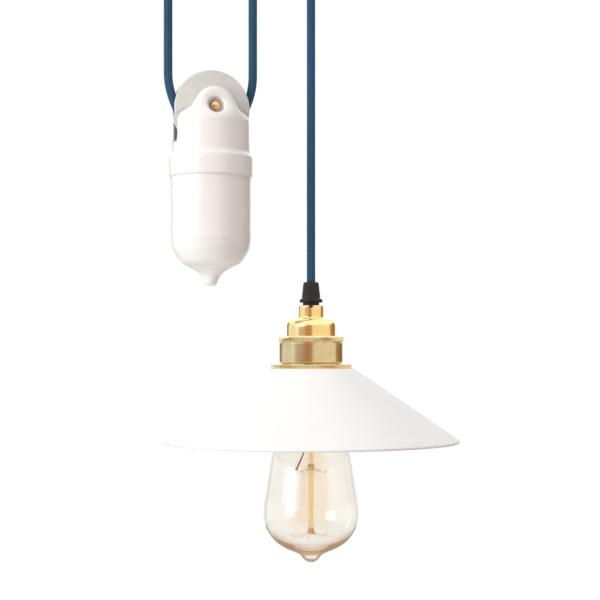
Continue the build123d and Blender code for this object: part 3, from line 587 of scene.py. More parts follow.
# Finish of each slot, and two looks apart from them: effect, colour, second colour, roughness, spread,
# relief in metres, the effect's other inputs, and the shader's own values.
FINISHES = {
    "white_enamel": ("mottle", (0.93, 0.925, 0.915), (0.90, 0.89, 0.875), 0.38, 0.12, 0.00002,
                     {"Clouds": 45.0, "Specks": 1800.0}, {"Coat Weight": 0.15, "Coat Roughness": 0.25}),
    "white_porcelain": ("mottle", (0.93, 0.905, 0.89), (0.91, 0.88, 0.86), 0.26, 0.10, 0.00002,
                        {"Clouds": 60.0, "Specks": 700.0}, {"Coat Weight": 0.4, "Coat Roughness": 0.12}),
    "wheel_porcelain": ("mottle", (0.80, 0.785, 0.765), (0.70, 0.675, 0.65), 0.55, 0.2, 0.00004,
                        {"Clouds": 180.0, "Specks": 2200.0}, {}),
    "cement": ("mottle", (0.55, 0.53, 0.48), (0.38, 0.36, 0.32), 0.9, 0.1, 0.0002,
               {"Clouds": 200.0, "Specks": 1500.0}, {}),
    "zinc_steel": ("mottle", (0.62, 0.63, 0.65), (0.45, 0.46, 0.47), 0.38, 0.3, 0.00001,
                   {"Clouds": 250.0, "Specks": 3000.0}, {"Metallic": 1.0}),
    "ballast_iron": ("mottle", (0.10, 0.10, 0.11), (0.20, 0.17, 0.15), 0.7, 0.3, 0.0002,
                     {"Clouds": 120.0, "Specks": 900.0}, {"Metallic": 0.7}),
    "polished_brass": ("spun", (0.97, 0.80, 0.42), (0.90, 0.64, 0.25), 0.20, 0.14, 0.000004,
                       {"Lines": 2200.0, "Stains": 160.0}, {"Metallic": 1.0, "Coat Weight": 0.2}),
    "satin_brass": ("spun", (0.74, 0.66, 0.42), (0.60, 0.47, 0.24), 0.22, 0.16, 0.000006,
                    {"Lines": 3000.0, "Stains": 220.0}, {"Metallic": 1.0}),
    "knurled_brass": ("spun", (1.0, 0.88, 0.58), (0.92, 0.70, 0.36), 0.28, 0.2, 0.000006,
                      {"Lines": 3000.0, "Stains": 220.0}, {"Metallic": 1.0}),
    "brass_screw": ("mottle", (0.86, 0.56, 0.30), (0.62, 0.36, 0.16), 0.24, 0.2, 0.00001,
                    {"Clouds": 500.0, "Specks": 4000.0}, {"Metallic": 1.0}),
    "dark_screw": ("mottle", (0.03, 0.04, 0.09), (0.02, 0.02, 0.03), 0.35, 0.2, 0.00001,
                   {"Clouds": 500.0, "Specks": 4000.0}, {"Metallic": 0.9}),
    "black_nylon": ("mottle", (0.018, 0.018, 0.019), (0.010, 0.010, 0.011), 0.42, 0.25, 0.00003,
                    {"Clouds": 300.0, "Specks": 3500.0}, {"Specular IOR Level": 0.3}),
    "natural_nylon": ("mottle", (0.78, 0.76, 0.70), (0.70, 0.67, 0.60), 0.45, 0.2, 0.00002,
                      {"Clouds": 200.0, "Specks": 2500.0}, {}),
    "blue_braid": ("braid", (0.060, 0.200, 0.400), (0.004, 0.010, 0.016), 0.7, 0.2, 0.00030, {}, {}),
    "brown_core": ("mottle", (0.16, 0.06, 0.02), (0.12, 0.045, 0.015), 0.35, 0.2, 0.00001,
                   {"Clouds": 300.0, "Specks": 3000.0}, {}),
    "blue_core": ("mottle", (0.02, 0.09, 0.42), (0.015, 0.07, 0.32), 0.35, 0.2, 0.00001,
                  {"Clouds": 300.0, "Specks": 3000.0}, {}),
    "green_core": ("mottle", (0.16, 0.42, 0.04), (0.55, 0.50, 0.03), 0.35, 0.2, 0.00001,
                   {"Clouds": 300.0, "Specks": 3000.0}, {}),
    "bulb_cap_metal": ("spun", (0.80, 0.79, 0.76), (0.62, 0.60, 0.56), 0.28, 0.2, 0.00001,
                       {"Lines": 2500.0, "Stains": 250.0}, {"Metallic": 1.0}),
    "black_vitrite": ("mottle", (0.012, 0.012, 0.016), (0.03, 0.028, 0.03), 0.15, 0.2, 0.00001,
                      {"Clouds": 300.0, "Specks": 2000.0}, {"Coat Weight": 0.5}),
    "solder": ("mottle", (0.66, 0.66, 0.66), (0.5, 0.5, 0.5), 0.35, 0.3, 0.00008,
               {"Clouds": 350.0, "Specks": 2500.0}, {"Metallic": 1.0}),
    "amber_glass": ("mottle", (0.955, 0.905, 0.82), (0.94, 0.86, 0.74), 0.01, 0.015, 0.000012,
                    {"Clouds": 30.0, "Specks": 300.0}, {"Transmission Weight": 1.0, "IOR": 1.48}),
    "stem_glass": ("mottle", (0.96, 0.80, 0.50), (0.92, 0.70, 0.36), 0.03, 0.03, 0.00002,
                   {"Clouds": 120.0, "Specks": 600.0}, {"Transmission Weight": 1.0, "IOR": 1.5}),
    "support_wire": ("mottle", (0.95, 0.46, 0.10), (0.80, 0.34, 0.06), 0.4, 0.3, 0.00001,
                     {"Clouds": 500.0, "Specks": 3000.0}, {}),
    "filament_carbon": ("mottle", (0.72, 0.54, 0.34), (0.62, 0.42, 0.24), 0.6, 0.2, 0.00001,
                        {"Clouds": 500.0, "Specks": 3000.0}, {}),
    "lead_copper": ("mottle", (0.32, 0.055, 0.010), (0.22, 0.035, 0.006), 0.5, 0.3, 0.00001,
                    {"Clouds": 500.0, "Specks": 3000.0}, {"Specular IOR Level": 0.15}),
}


PALE_AMBER = (0.965, 0.945, 0.905, 1)
BROWN_AMBER = (0.58, 0.23, 0.015, 1)


def amber_rim(tree, look, shader):
    """Paler glass towards the sides, and a brown rim low down where the wall is seen edge on."""
    def ramp(value, start, end):
        """Smooth passage from 0 at start to 1 at end."""
        node = tree.nodes.new("ShaderNodeMapRange")
        node.interpolation_type = "SMOOTHSTEP"
        node.inputs["From Min"].default_value = start
        node.inputs["From Max"].default_value = end
        tree.links.new(value, node.inputs[0])
        return node.outputs[0]

    def plain(tint):
        node = tree.nodes.new("ShaderNodeRGB")
        node.outputs[0].default_value = tint
        return node.outputs[0]

    weight = tree.nodes.new("ShaderNodeLayerWeight")
    weight.inputs["Blend"].default_value = 0.5
    facing = weight.outputs["Facing"]
    place = tree.nodes.new("ShaderNodeSeparateXYZ")
    tree.links.new(tree.nodes.new("ShaderNodeTexCoord").outputs["Generated"], place.inputs[0])
    rim = math_node(tree, "MULTIPLY", ramp(facing, 0.35, 0.75), ramp(place.outputs[2], 0.20, 0.12))
    tint = mixed_colour(tree, ramp(facing, 0.012, 0.10), look.outputs["Colour"], plain(PALE_AMBER))
    tree.links.new(mixed_colour(tree, rim, tint, plain(BROWN_AMBER)), shader.inputs["Base Color"])


def finish(slot):
    """The material of a finish, made once."""
    material = bpy.data.materials.get("finish_" + slot)
    if material:
        return material
    effect, first, second, rough, spread, relief, more, own = FINISHES[slot]
    material = bpy.data.materials.new("finish_" + slot)
    material.use_nodes = True
    tree = material.node_tree
    shader = tree.nodes["Principled BSDF"]
    for name, value in own.items():
        shader.inputs[name].default_value = value
    look = tree.nodes.new("ShaderNodeGroup")
    look.node_tree = bpy.data.node_groups.get(effect) or EFFECTS[effect]()
    values = {"Colour": (*first, 1), "Second": (*second, 1), "Roughness": rough, "Spread": spread, **more}
    for name, value in values.items():
        look.inputs[name].default_value = value
    bump = tree.nodes.new("ShaderNodeBump")
    bump.inputs["Distance"].default_value = relief
    tree.links.new(look.outputs["Colour"], shader.inputs["Base Color"])
    if slot == "amber_glass":
        amber_rim(tree, look, shader)
    tree.links.new(look.outputs["Roughness"], shader.inputs["Roughness"])
    tree.links.new(look.outputs["Height"], bump.inputs["Height"])
    tree.links.new(bump.outputs["Normal"], shader.inputs["Normal"])
    return material


# ---- Stage ----

# Bearing that the camera looks along, clockwise from straight ahead, then its place and lens.
TURN = math.radians(14.2)
CAMERA_PLACE = (-0.1798, -0.9104, -0.360)
LENS = 84.1
SENSOR_WIDTH = 36.0
SHIFT_UP = 0.0917
# What polished pieces see round the lamp: degrees to the right of the camera's own direction, colour.
DARK_SIDE = (0.10, 0.07, 0.05)
PANELS = (
    (-154, (1.0, 1.0, 1.0)), (-150, DARK_SIDE), (-138, DARK_SIDE), (-130, (1.0, 0.97, 0.92)),
    (-62, (0.95, 0.92, 0.86)), (-58, (0.50, 0.27, 0.12)), (3, (0.56, 0.30, 0.13)), (7, (1.0, 0.92, 0.78)),
    (99, (1.05, 0.95, 0.80)), (104, (0.50, 0.27, 0.11)), (138, (0.40, 0.20, 0.08)), (142, DARK_SIDE),
    (150, DARK_SIDE), (154, (1.0, 1.0, 1.0)),
)
# A window: bearing and its half width in turns, height and its half width, strength.
WINDOW = (-55 / 360 + 0.5, 25 / 360, 0.21, 0.10, 4.2)
SKY_BLUE = (0.50, 0.76, 1.0)
WHITE = (1, 1, 1)
# How bright the backdrop, the dim room and the ceiling are; the ceiling starts between two heights.
BACKDROP = 1.02
ROOM, ROOM_TINT = 0.40, (1.0, 0.95, 0.92)
CEILING, CEILING_START, CEILING_FULL = 1.35, 0.25, 0.35
# Soft lights: metres to the right, ahead and up from the lamp's middle, size, watts, colour.
LIGHTS = (
    ("key", (-1.15, -0.9, 0.45), (0.7, 1.4), 18.5, (1.0, 0.995, 0.99)),
    ("fill", (1.2, -0.9, 0.1), (0.8, 1.2), 0.9, (1.0, 0.66, 0.50)),
    ("above", (0.4, -0.1, 1.5), (1.2, 1.2), 9.5, (1.0, 1.0, 1.0)),
)
MIDDLE_Z = -0.33
FLOOR_Z = -0.9
FLOOR_R = 2.0
FLOOR_PAINT = (0.8, 0.79, 0.78, 1)


class PENDANT_OT_stage(bpy.types.Operator):
    """Camera, soft lights, white surroundings and a pale floor"""
    bl_idname = "pendant.stage"
    bl_label = "Stage"

    def execute(self, context):
        scene = context.scene
        scene.view_settings.view_transform = "Standard"
        data = bpy.data.cameras.new("camera")
        data.lens = LENS
        data.sensor_width = SENSOR_WIDTH
        data.shift_y = SHIFT_UP
        camera = bpy.data.objects.new("camera", data)
        camera.location = CAMERA_PLACE
        camera.rotation_euler = (math.radians(90), 0, -TURN)
        scene.collection.objects.link(camera)
        scene.camera = camera
        self.lights(scene)
        self.surroundings(scene)
        self.floor(scene)
        return {"FINISHED"}

    def lights(self, scene):
        """Soft lights round the lamp's middle; they don't show in gloss, where the panels do."""
        centre = Vector((LAMP_X * 0.5, 0, MIDDLE_Z))
        ahead = Vector((math.sin(TURN), math.cos(TURN), 0))
        right = Vector((math.cos(TURN), -math.sin(TURN), 0))
        up = Vector((0, 0, 1))
        for name, (aside, forward, rise), size, power, tint in LIGHTS:
            offset = aside * right + forward * ahead + rise * up
            lamp = bpy.data.lights.new(name, "AREA")
            lamp.shape = "RECTANGLE"
            lamp.size, lamp.size_y = size
            lamp.energy = power
            lamp.color = tint
            light = bpy.data.objects.new(name, lamp)
            light.location = centre + offset
            light.rotation_euler = (-offset).to_track_quat("-Z", "Y").to_euler()
            light.visible_glossy = False
            scene.collection.objects.link(light)

    def floor(self, scene):
        """Pale round floor well below the lamp."""
        work = bmesh.new()
        bmesh.ops.create_circle(work, cap_ends=True, segments=96, radius=FLOOR_R,
                                matrix=Matrix.Translation((LAMP_X, 0, FLOOR_Z)))
        mesh = bpy.data.meshes.new("floor")
        work.to_mesh(mesh)
        work.free()
        floor = bpy.data.objects.new("floor", mesh)
        scene.collection.objects.link(floor)
        paint = bpy.data.materials.new("pale_floor")
        paint.use_nodes = True
        shader = paint.node_tree.nodes["Principled BSDF"]
        shader.inputs["Base Color"].default_value = FLOOR_PAINT
        shader.inputs["Roughness"].default_value = 0.8
        mesh.materials.append(paint)

    def surroundings(self, scene):
        """White behind the lamp; a dim room for diffuse light; bright panels and dark gaps for gloss."""
        world = bpy.data.worlds.new("surroundings")
        world.use_nodes = True
        scene.world = world
        tree = world.node_tree
        tree.nodes.clear()

        def background(strength, tint):
            node = tree.nodes.new("ShaderNodeBackground")
            node.inputs["Strength"].default_value = strength
            node.inputs["Color"].default_value = (*tint, 1)
            return node

        def mixed(factor, a, b):
            node = tree.nodes.new("ShaderNodeMixShader")
            tree.links.new(factor, node.inputs[0])
            tree.links.new(a.outputs[0], node.inputs[1])
            tree.links.new(b.outputs[0], node.inputs[2])
            return node

        path = tree.nodes.new("ShaderNodeLightPath")
        seen = math_node(tree, "MAXIMUM",
                         path.outputs["Is Camera Ray"], path.outputs["Is Transmission Ray"])
        split = tree.nodes.new("ShaderNodeSeparateXYZ")
        turn = tree.nodes.new("ShaderNodeVectorRotate")
        turn.rotation_type = "Z_AXIS"
        turn.inputs["Angle"].default_value = TURN
        tree.links.new(tree.nodes.new("ShaderNodeTexCoord").outputs["Generated"], turn.inputs["Vector"])
        tree.links.new(turn.outputs[0], split.inputs[0])
        side, ahead, height = split.outputs
        bearing = math_node(tree, "ARCTAN2", side, math_node(tree, "MULTIPLY", ahead, -1.0))
        bearing = math_node(tree, "MULTIPLY_ADD", bearing, 1 / (2 * math.pi), 0.5)
        panels = tree.nodes.new("ShaderNodeValToRGB")
        tree.links.new(bearing, panels.inputs[0])
        ramp = panels.color_ramp
        ramp.elements[0].position, ramp.elements[1].position = 0.0, 1.0
        ramp.elements[0].color = ramp.elements[1].color = (1, 1, 1, 1)
        for degrees, tint in PANELS:
            ramp.elements.new(degrees / 360 + 0.5).color = (*tint, 1)
        overhead = tree.nodes.new("ShaderNodeMapRange")
        overhead.interpolation_type = "SMOOTHSTEP"
        overhead.inputs["From Min"].default_value = CEILING_START
        overhead.inputs["From Max"].default_value = CEILING_FULL
        tree.links.new(height, overhead.inputs[0])
        gloss = background(1.0, WHITE)
        tree.links.new(panels.outputs[0], gloss.inputs["Color"])
        gloss = mixed(overhead.outputs[0], gloss, background(CEILING, WHITE))
        bearing_middle, bearing_half, height_middle, height_half, strength = WINDOW
        in_bearing = math_node(tree, "COMPARE", bearing, bearing_middle, bearing_half)
        in_height = math_node(tree, "COMPARE", height, height_middle, height_half)
        pane = math_node(tree, "MULTIPLY", in_bearing, in_height)
        gloss = mixed(pane, gloss, background(strength, SKY_BLUE))
        room = mixed(path.outputs["Is Glossy Ray"], background(ROOM, ROOM_TINT), gloss)
        room = mixed(seen, room, background(BACKDROP, WHITE))
        tree.links.new(room.outputs[0], tree.nodes.new("ShaderNodeOutputWorld").inputs[0])


# ---- Flex ----

# Control points of the two cords: (x, y, z) in metres.
BALANCE_ROUTE = [
    (-0.0160, 0.022, -0.0080), (-0.0280, 0.022, -0.0080), (-0.0360, 0.013, -0.0090), (-0.0385, 0, -0.0180),
    (-0.0385, 0, -0.0340), (-0.0385, 0, -0.057175), (-0.0385, 0, -0.1669), (-0.0385, 0, -0.1827),
    (-0.03355, 0, -0.1977), (-0.02479, 0, -0.21294), (-0.01551, 0, -0.2183), (-0.00479, 0, -0.2183),
    (0.00449, 0, -0.21294), (0.01325, 0, -0.1977), (0.0182, 0, -0.1827), (0.0182, 0, -0.1669),
    (0.0182, 0, -0.0794), (0.0182, 0, -0.06864), (0.02356, 0, -0.05936), (0.03284, 0, -0.0540),
    (0.04356, 0, -0.0540), (0.05284, 0, -0.05936), (0.0582, 0, -0.06864), (0.0582, 0, -0.0740),
]
DROP_ROUTE = [(0.0582, 0, -0.0740), (0.0582, 0, -0.3111), (0.0582, 0, -0.3365)]


class PENDANT_OT_flex(bpy.types.Operator):
    """Braided flex: the balance cord round both wheels, and the drop to the lamp"""
    bl_idname = "pendant.flex"
    bl_label = "Flex"

    def execute(self, context):
        flex = context.scene.pendant_flex

        def relief(turn, distance):
            """Height of the upper strand of an over-and-under braid."""
            right = turn * flex.strands + distance / flex.pitch
            left = turn * flex.strands - distance / flex.pitch
            over = (np.floor(right) + np.floor(left)) % 2
            across = np.where(over < 1, right % 1, left % 1)
            return (np.sin(np.pi * across) - 0.75) * flex.relief

        cords = (
            ("flex_balance", BALANCE_ROUTE, ("flex_ceiling_tail", "flex_anchor_run", "flex_weight_loop",
                                             "flex_balance_run", "flex_ceiling_loop"), 0.472),
            ("flex_drop", DROP_ROUTE, ("flex_drop_run", "flex_lamp_tail"), 0.2625),
        )
        made = []
        for name, route, nodes, reach in cords:
            line = centreline(route, flex.ring)
            mesh = tube(name, line, flex.diameter / 2, flex.around, relief)
            cord = piece(name, mesh, "blue_braid", nodes=nodes)
            made.append(cord)
        balance, drop = made
        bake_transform(balance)
        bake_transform(drop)
        braid = finish("blue_braid").node_tree.nodes
        look = next(node for node in braid if node.type == "GROUP")
        look.inputs["Colour"].default_value = flex.thread
        look.inputs["Second"].default_value = flex.shadow
        look.inputs["Strands"].default_value = flex.strands
        look.inputs["Lay"].default_value = flex.pitch
        return {"FINISHED"}


# ---- Counterweight ----

def soft_least(a, b, soft):
    """Smaller of two fields, with a soft passage between them."""
    share = np.clip(0.5 + 0.5 * (b - a) / soft, 0, 1)
    return b + (a - b) * share - soft * share * (1 - share)


def soft_most(a, b, soft):
    """Larger of two fields, with a soft passage between them."""
    return -soft_least(-a, -b, soft)


def rounded_block(a, b, edge):
    """Field of a two-sided block from its sides' distances, with a rounded edge."""
    a, b = a + edge, b + edge
    return np.minimum(np.maximum(a, b), 0) + np.hypot(np.maximum(a, 0), np.maximum(b, 0)) - edge


class PENDANT_OT_counterweight(bpy.types.Operator):
    """Glazed porcelain head with its cheeks and slot, and the pot below it"""
    bl_idname = "pendant.counterweight"
    bl_label = "Counterweight"

    def execute(self, context):
        clay = context.scene.pendant_porcelain
        collar_edge = bottom("weight_head") - WEIGHT.z
        socket_top = top("pot_cement") - WEIGHT.z

        collar_round, collar_flow, dish_edge = 0.0012, 0.004, 0.0022
        ease_from, ease_run = 0.016, 0.008

        def head(x, y, z):
            x, z = x - WEIGHT.x, z - WEIGHT.z
            rho = np.hypot(x, y)
            body = rounded_block(rho - clay.body_r, z - clay.crown, clay.shoulder)
            collar = rounded_block(rho - clay.collar_r, z - collar_edge - clay.collar_h, collar_round)
            body = soft_least(body, collar, collar_flow)
            boss = rounded_block(np.hypot(x, z) - clay.boss_r, np.abs(y) - clay.boss_half, clay.boss_round)
            body = soft_least(body, boss, clay.flow)
            body = soft_most(body, collar_edge - z, clay.edge)
            socket = np.maximum(rho - clay.socket_r, z - socket_top)
            body = np.maximum(body, -socket)
            dish = np.maximum(np.hypot(x, z) - clay.recess_r,
                              clay.boss_half - clay.recess_depth - np.abs(y))
            body = soft_most(body, -dish, dish_edge)
            ease = np.clip((np.abs(x) - ease_from) / ease_run, 0, 1)
            slot_side = clay.slot_half + clay.slot_flare * ease * ease * (3 - 2 * ease)
            slot = rounded_block(np.abs(y) - slot_side, -clay.slot_depth - z, clay.slot_round)
            body = soft_most(body, -slot, clay.edge)
            pocket = np.maximum(np.hypot(x, z) - clay.pocket_r, np.abs(y) - clay.slot_half)
            return soft_most(body, -pocket, clay.edge)

        margin = 3 * clay.grain
        reach = clay.collar_r + margin
        low = (WEIGHT.x - reach, -reach, bottom("weight_head") - margin)
        high = (WEIGHT.x + reach, reach, WEIGHT.z + clay.boss_r + margin)
        mesh = from_field("weight_head_glazed", head, low, high, clay.grain)
        # Painted shade in the slot and in the dish round the axle.
        self.painted_shade_and_polish(mesh, clay)
        piece("weight_head_glazed", mesh, "white_porcelain", "counterweight", ["weight_head"])
        self.pot()
        return {"FINISHED"}

    def painted_shade_and_polish(self, mesh, clay):
        """Painted shade: darker glaze inside the slot and, fainter, in the dish round the axle's head,
        where shadow falls.
        """
        place = np.array([v.co for v in mesh.vertices]) - np.array(WEIGHT)
        along, across, height = place.T
        side = clay.slot_half + 0.3 * MM
        mouth = np.abs(along) > 18 * MM
        inside = np.clip((side - np.abs(across)) / (0.5 * MM) + mouth * 4, 0, 1)
        inside *= np.abs(across) < side + clay.slot_flare - 0.2 * MM
        inside *= height > -clay.slot_depth - 1 * MM
        dish = np.clip((clay.recess_r - np.hypot(along, height)) / (1.5 * MM), 0, 1)
        dish *= np.abs(across) > 12 * MM
        write_painted_shade_and_polish(mesh, np.maximum(inside * 0.9, dish * 0.45))

    def pot(self):
        """Pot that the head's collar laps, with a rounded end and a small nose."""
        start = top("weight_pot")
        pot_top = bottom("weight_head") + 0.1 * MM
        side_end = bottom("weight_pot") + 30.2 * MM
        pot_r = 26.4 * MM
        end = flowing([(pot_r, side_end + 4 * MM), (pot_r, side_end), (24.9 * MM, side_end - 7 * MM),
                       (19.8 * MM, side_end - 14.7 * MM), (13.2 * MM, side_end - 18.4 * MM),
                       (7.4 * MM, side_end - 22.1 * MM), (4.9 * MM, side_end - 26.4 * MM),
                       (3.9 * MM, side_end - 28.6 * MM), (2.0 * MM, side_end - 29.9 * MM),
                       (0, side_end - 30.2 * MM)])
        shell = rounded([(21.2 * MM, start), (22.8 * MM, start), (22.8 * MM, pot_top),
                         (pot_r, pot_top, 0.3 * MM), (pot_r, pot_top - 3 * MM)], closed=False)
        nose = bottom("ballast")
        inside = [(0, nose), (11 * MM, nose), (21.2 * MM, nose + 10.5 * MM)]
        mesh = turned("weight_pot_glazed", dense(shell + end, 2 * MM, False) + inside, WEIGHT.x, 160)
        piece("weight_pot_glazed", mesh, "white_porcelain", "counterweight", ["weight_pot"])


class PENDANT_OT_wheels(bpy.types.Operator):
    """Grooved porcelain wheels of the ceiling fork and the counterweight, and the domed axle screw"""
    bl_idname = "pendant.wheels"
    bl_label = "Wheels"

    def execute(self, context):
        wheel = context.scene.pendant_wheel
        centre = wheel.groove_r + wheel.groove_half
        arc = [(centre - wheel.groove_half * math.cos(a), wheel.groove_half * math.sin(a))
               for a in (math.radians(d) for d in range(-80, 81, 10))]
        outline = rounded([
            (wheel.bore_r, wheel.half, 0.0003), (wheel.bore_r, -wheel.half, 0.0003),
            (wheel.rim_r, -wheel.half, 0.0008), (wheel.rim_r, -wheel.mouth_half, 0.0007),
            (centre, -wheel.groove_half, 0.0),
            *arc,
            (centre, wheel.groove_half, 0.0),
            (wheel.rim_r, wheel.mouth_half, 0.0007), (wheel.rim_r, wheel.half, 0.0008),
        ])
        for name, place, body in (("ceiling_wheel", CEILING_WHEEL, "upper_pulley"),
                                  ("weight_wheel", WEIGHT, "lower_pulley")):
            lay = Matrix.Translation(place) @ Matrix.Rotation(math.radians(90), 4, "X")
            mesh = turned(name + "_turned", outline, 0.0, 144, place=lay)
            piece(name + "_turned", mesh, "wheel_porcelain", body, [name])
        low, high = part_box("weight_axle")
        head_r = (high.z - low.z) / 2
        shaft_r = 2.0 * MM
        front, back = WEIGHT.y - low.y, WEIGHT.y - high.y
        under = front - 2.6 * MM
        screw = flowing([(0, front), (head_r * 0.45, front - 0.25 * MM), (head_r * 0.8, front - 0.8 * MM),
                         (head_r, front - 1.7 * MM)], 4)
        screw += [(head_r, under), (shaft_r, under), (shaft_r, back + 0.3 * MM),
                  (shaft_r - 0.3 * MM, back), (0, back)]
        lay = Matrix.Translation(WEIGHT) @ Matrix.Rotation(math.radians(90), 4, "X")
        mesh = turned("weight_axle_turned", screw, 0.0, 48, closed=False, place=lay)
        piece("weight_axle_turned", mesh, "brass_screw", "counterweight", ["weight_axle"])
        return {"FINISHED"}


# ---- Cord grips and lampholder ----

# The neck's set screw and its notch face the camera's side.
SCREW_SIDE = Vector((-math.sin(TURN), -math.cos(TURN), 0))


class PENDANT_OT_grips(bpy.types.Operator):
    """Tapered nylon cord grips at the lamp and at the ceiling"""
    bl_idname = "pendant.grips"
    bl_label = "Cord grips"

    def execute(self, context):
        low, high = "cord_grip", "upper_cord_grip"
        grips = (
            (low, LAMP_X, top(low), bottom(low), 1, 1.0, "lamp"),
            (high, ANCHOR_X, bottom(high), top(high), -1, 1.75, "ceiling"),
        )
        bore = 2.85 * MM
        for name, x, tip, end, up, stretch, body in grips:
            collar = tip - up * 11.3 * MM * stretch
            under = collar - up * 2.4 * MM
            seat = under - up * 2.0 * MM
            outline = rounded([
                (bore, tip, 0.3 * MM), (5.1 * MM, tip, 1.1 * MM), (6.3 * MM, collar, 0.5 * MM),
                (7.7 * MM, collar, 0.9 * MM), (7.7 * MM, under, 0.7 * MM), (5.5 * MM, under, 0.2 * MM),
                (5.5 * MM, seat), (4.8 * MM, seat), (4.8 * MM, end), (bore, end),
            ])
            mesh = turned(name + "_moulded", dense(outline, 1.5 * MM), x, 72)
            level = collar + up * 3.0 * MM
            mesh = bored(mesh, (x + 3.4 * MM, 0, level), (x + 9 * MM, 0, level), 1.55 * MM)
            piece(name + "_moulded", mesh, "black_nylon", body, [name])
        return {"FINISHED"}


def darken(mesh, rim, depth, low, high):
    """Old polish in the valleys of the knurls between two heights."""
    place = np.array([v.co for v in mesh.vertices]) - np.array((LAMP_X, 0, 0))
    deep = (rim - np.hypot(place[:, 0], place[:, 1])) / depth
    on = (deep < 1.2) * (place[:, 2] > low) * (place[:, 2] < high)
    write_painted_shade_and_polish(mesh, 0.55 * np.clip(deep, 0, 1) * on)


def knurl(teeth, rim, depth, low, high):
    """Rounded teeth on a rim between two heights, fading out at its edges."""
    def ripple(angle, r, z):
        edge = np.clip(np.minimum(z - low, high - z) / (0.5 * MM), 0, 1)
        on_rim = (r > rim - 0.6 * MM) * edge
        return -depth * (0.5 - 0.5 * np.cos(teeth * angle)) * on_rim
    return ripple


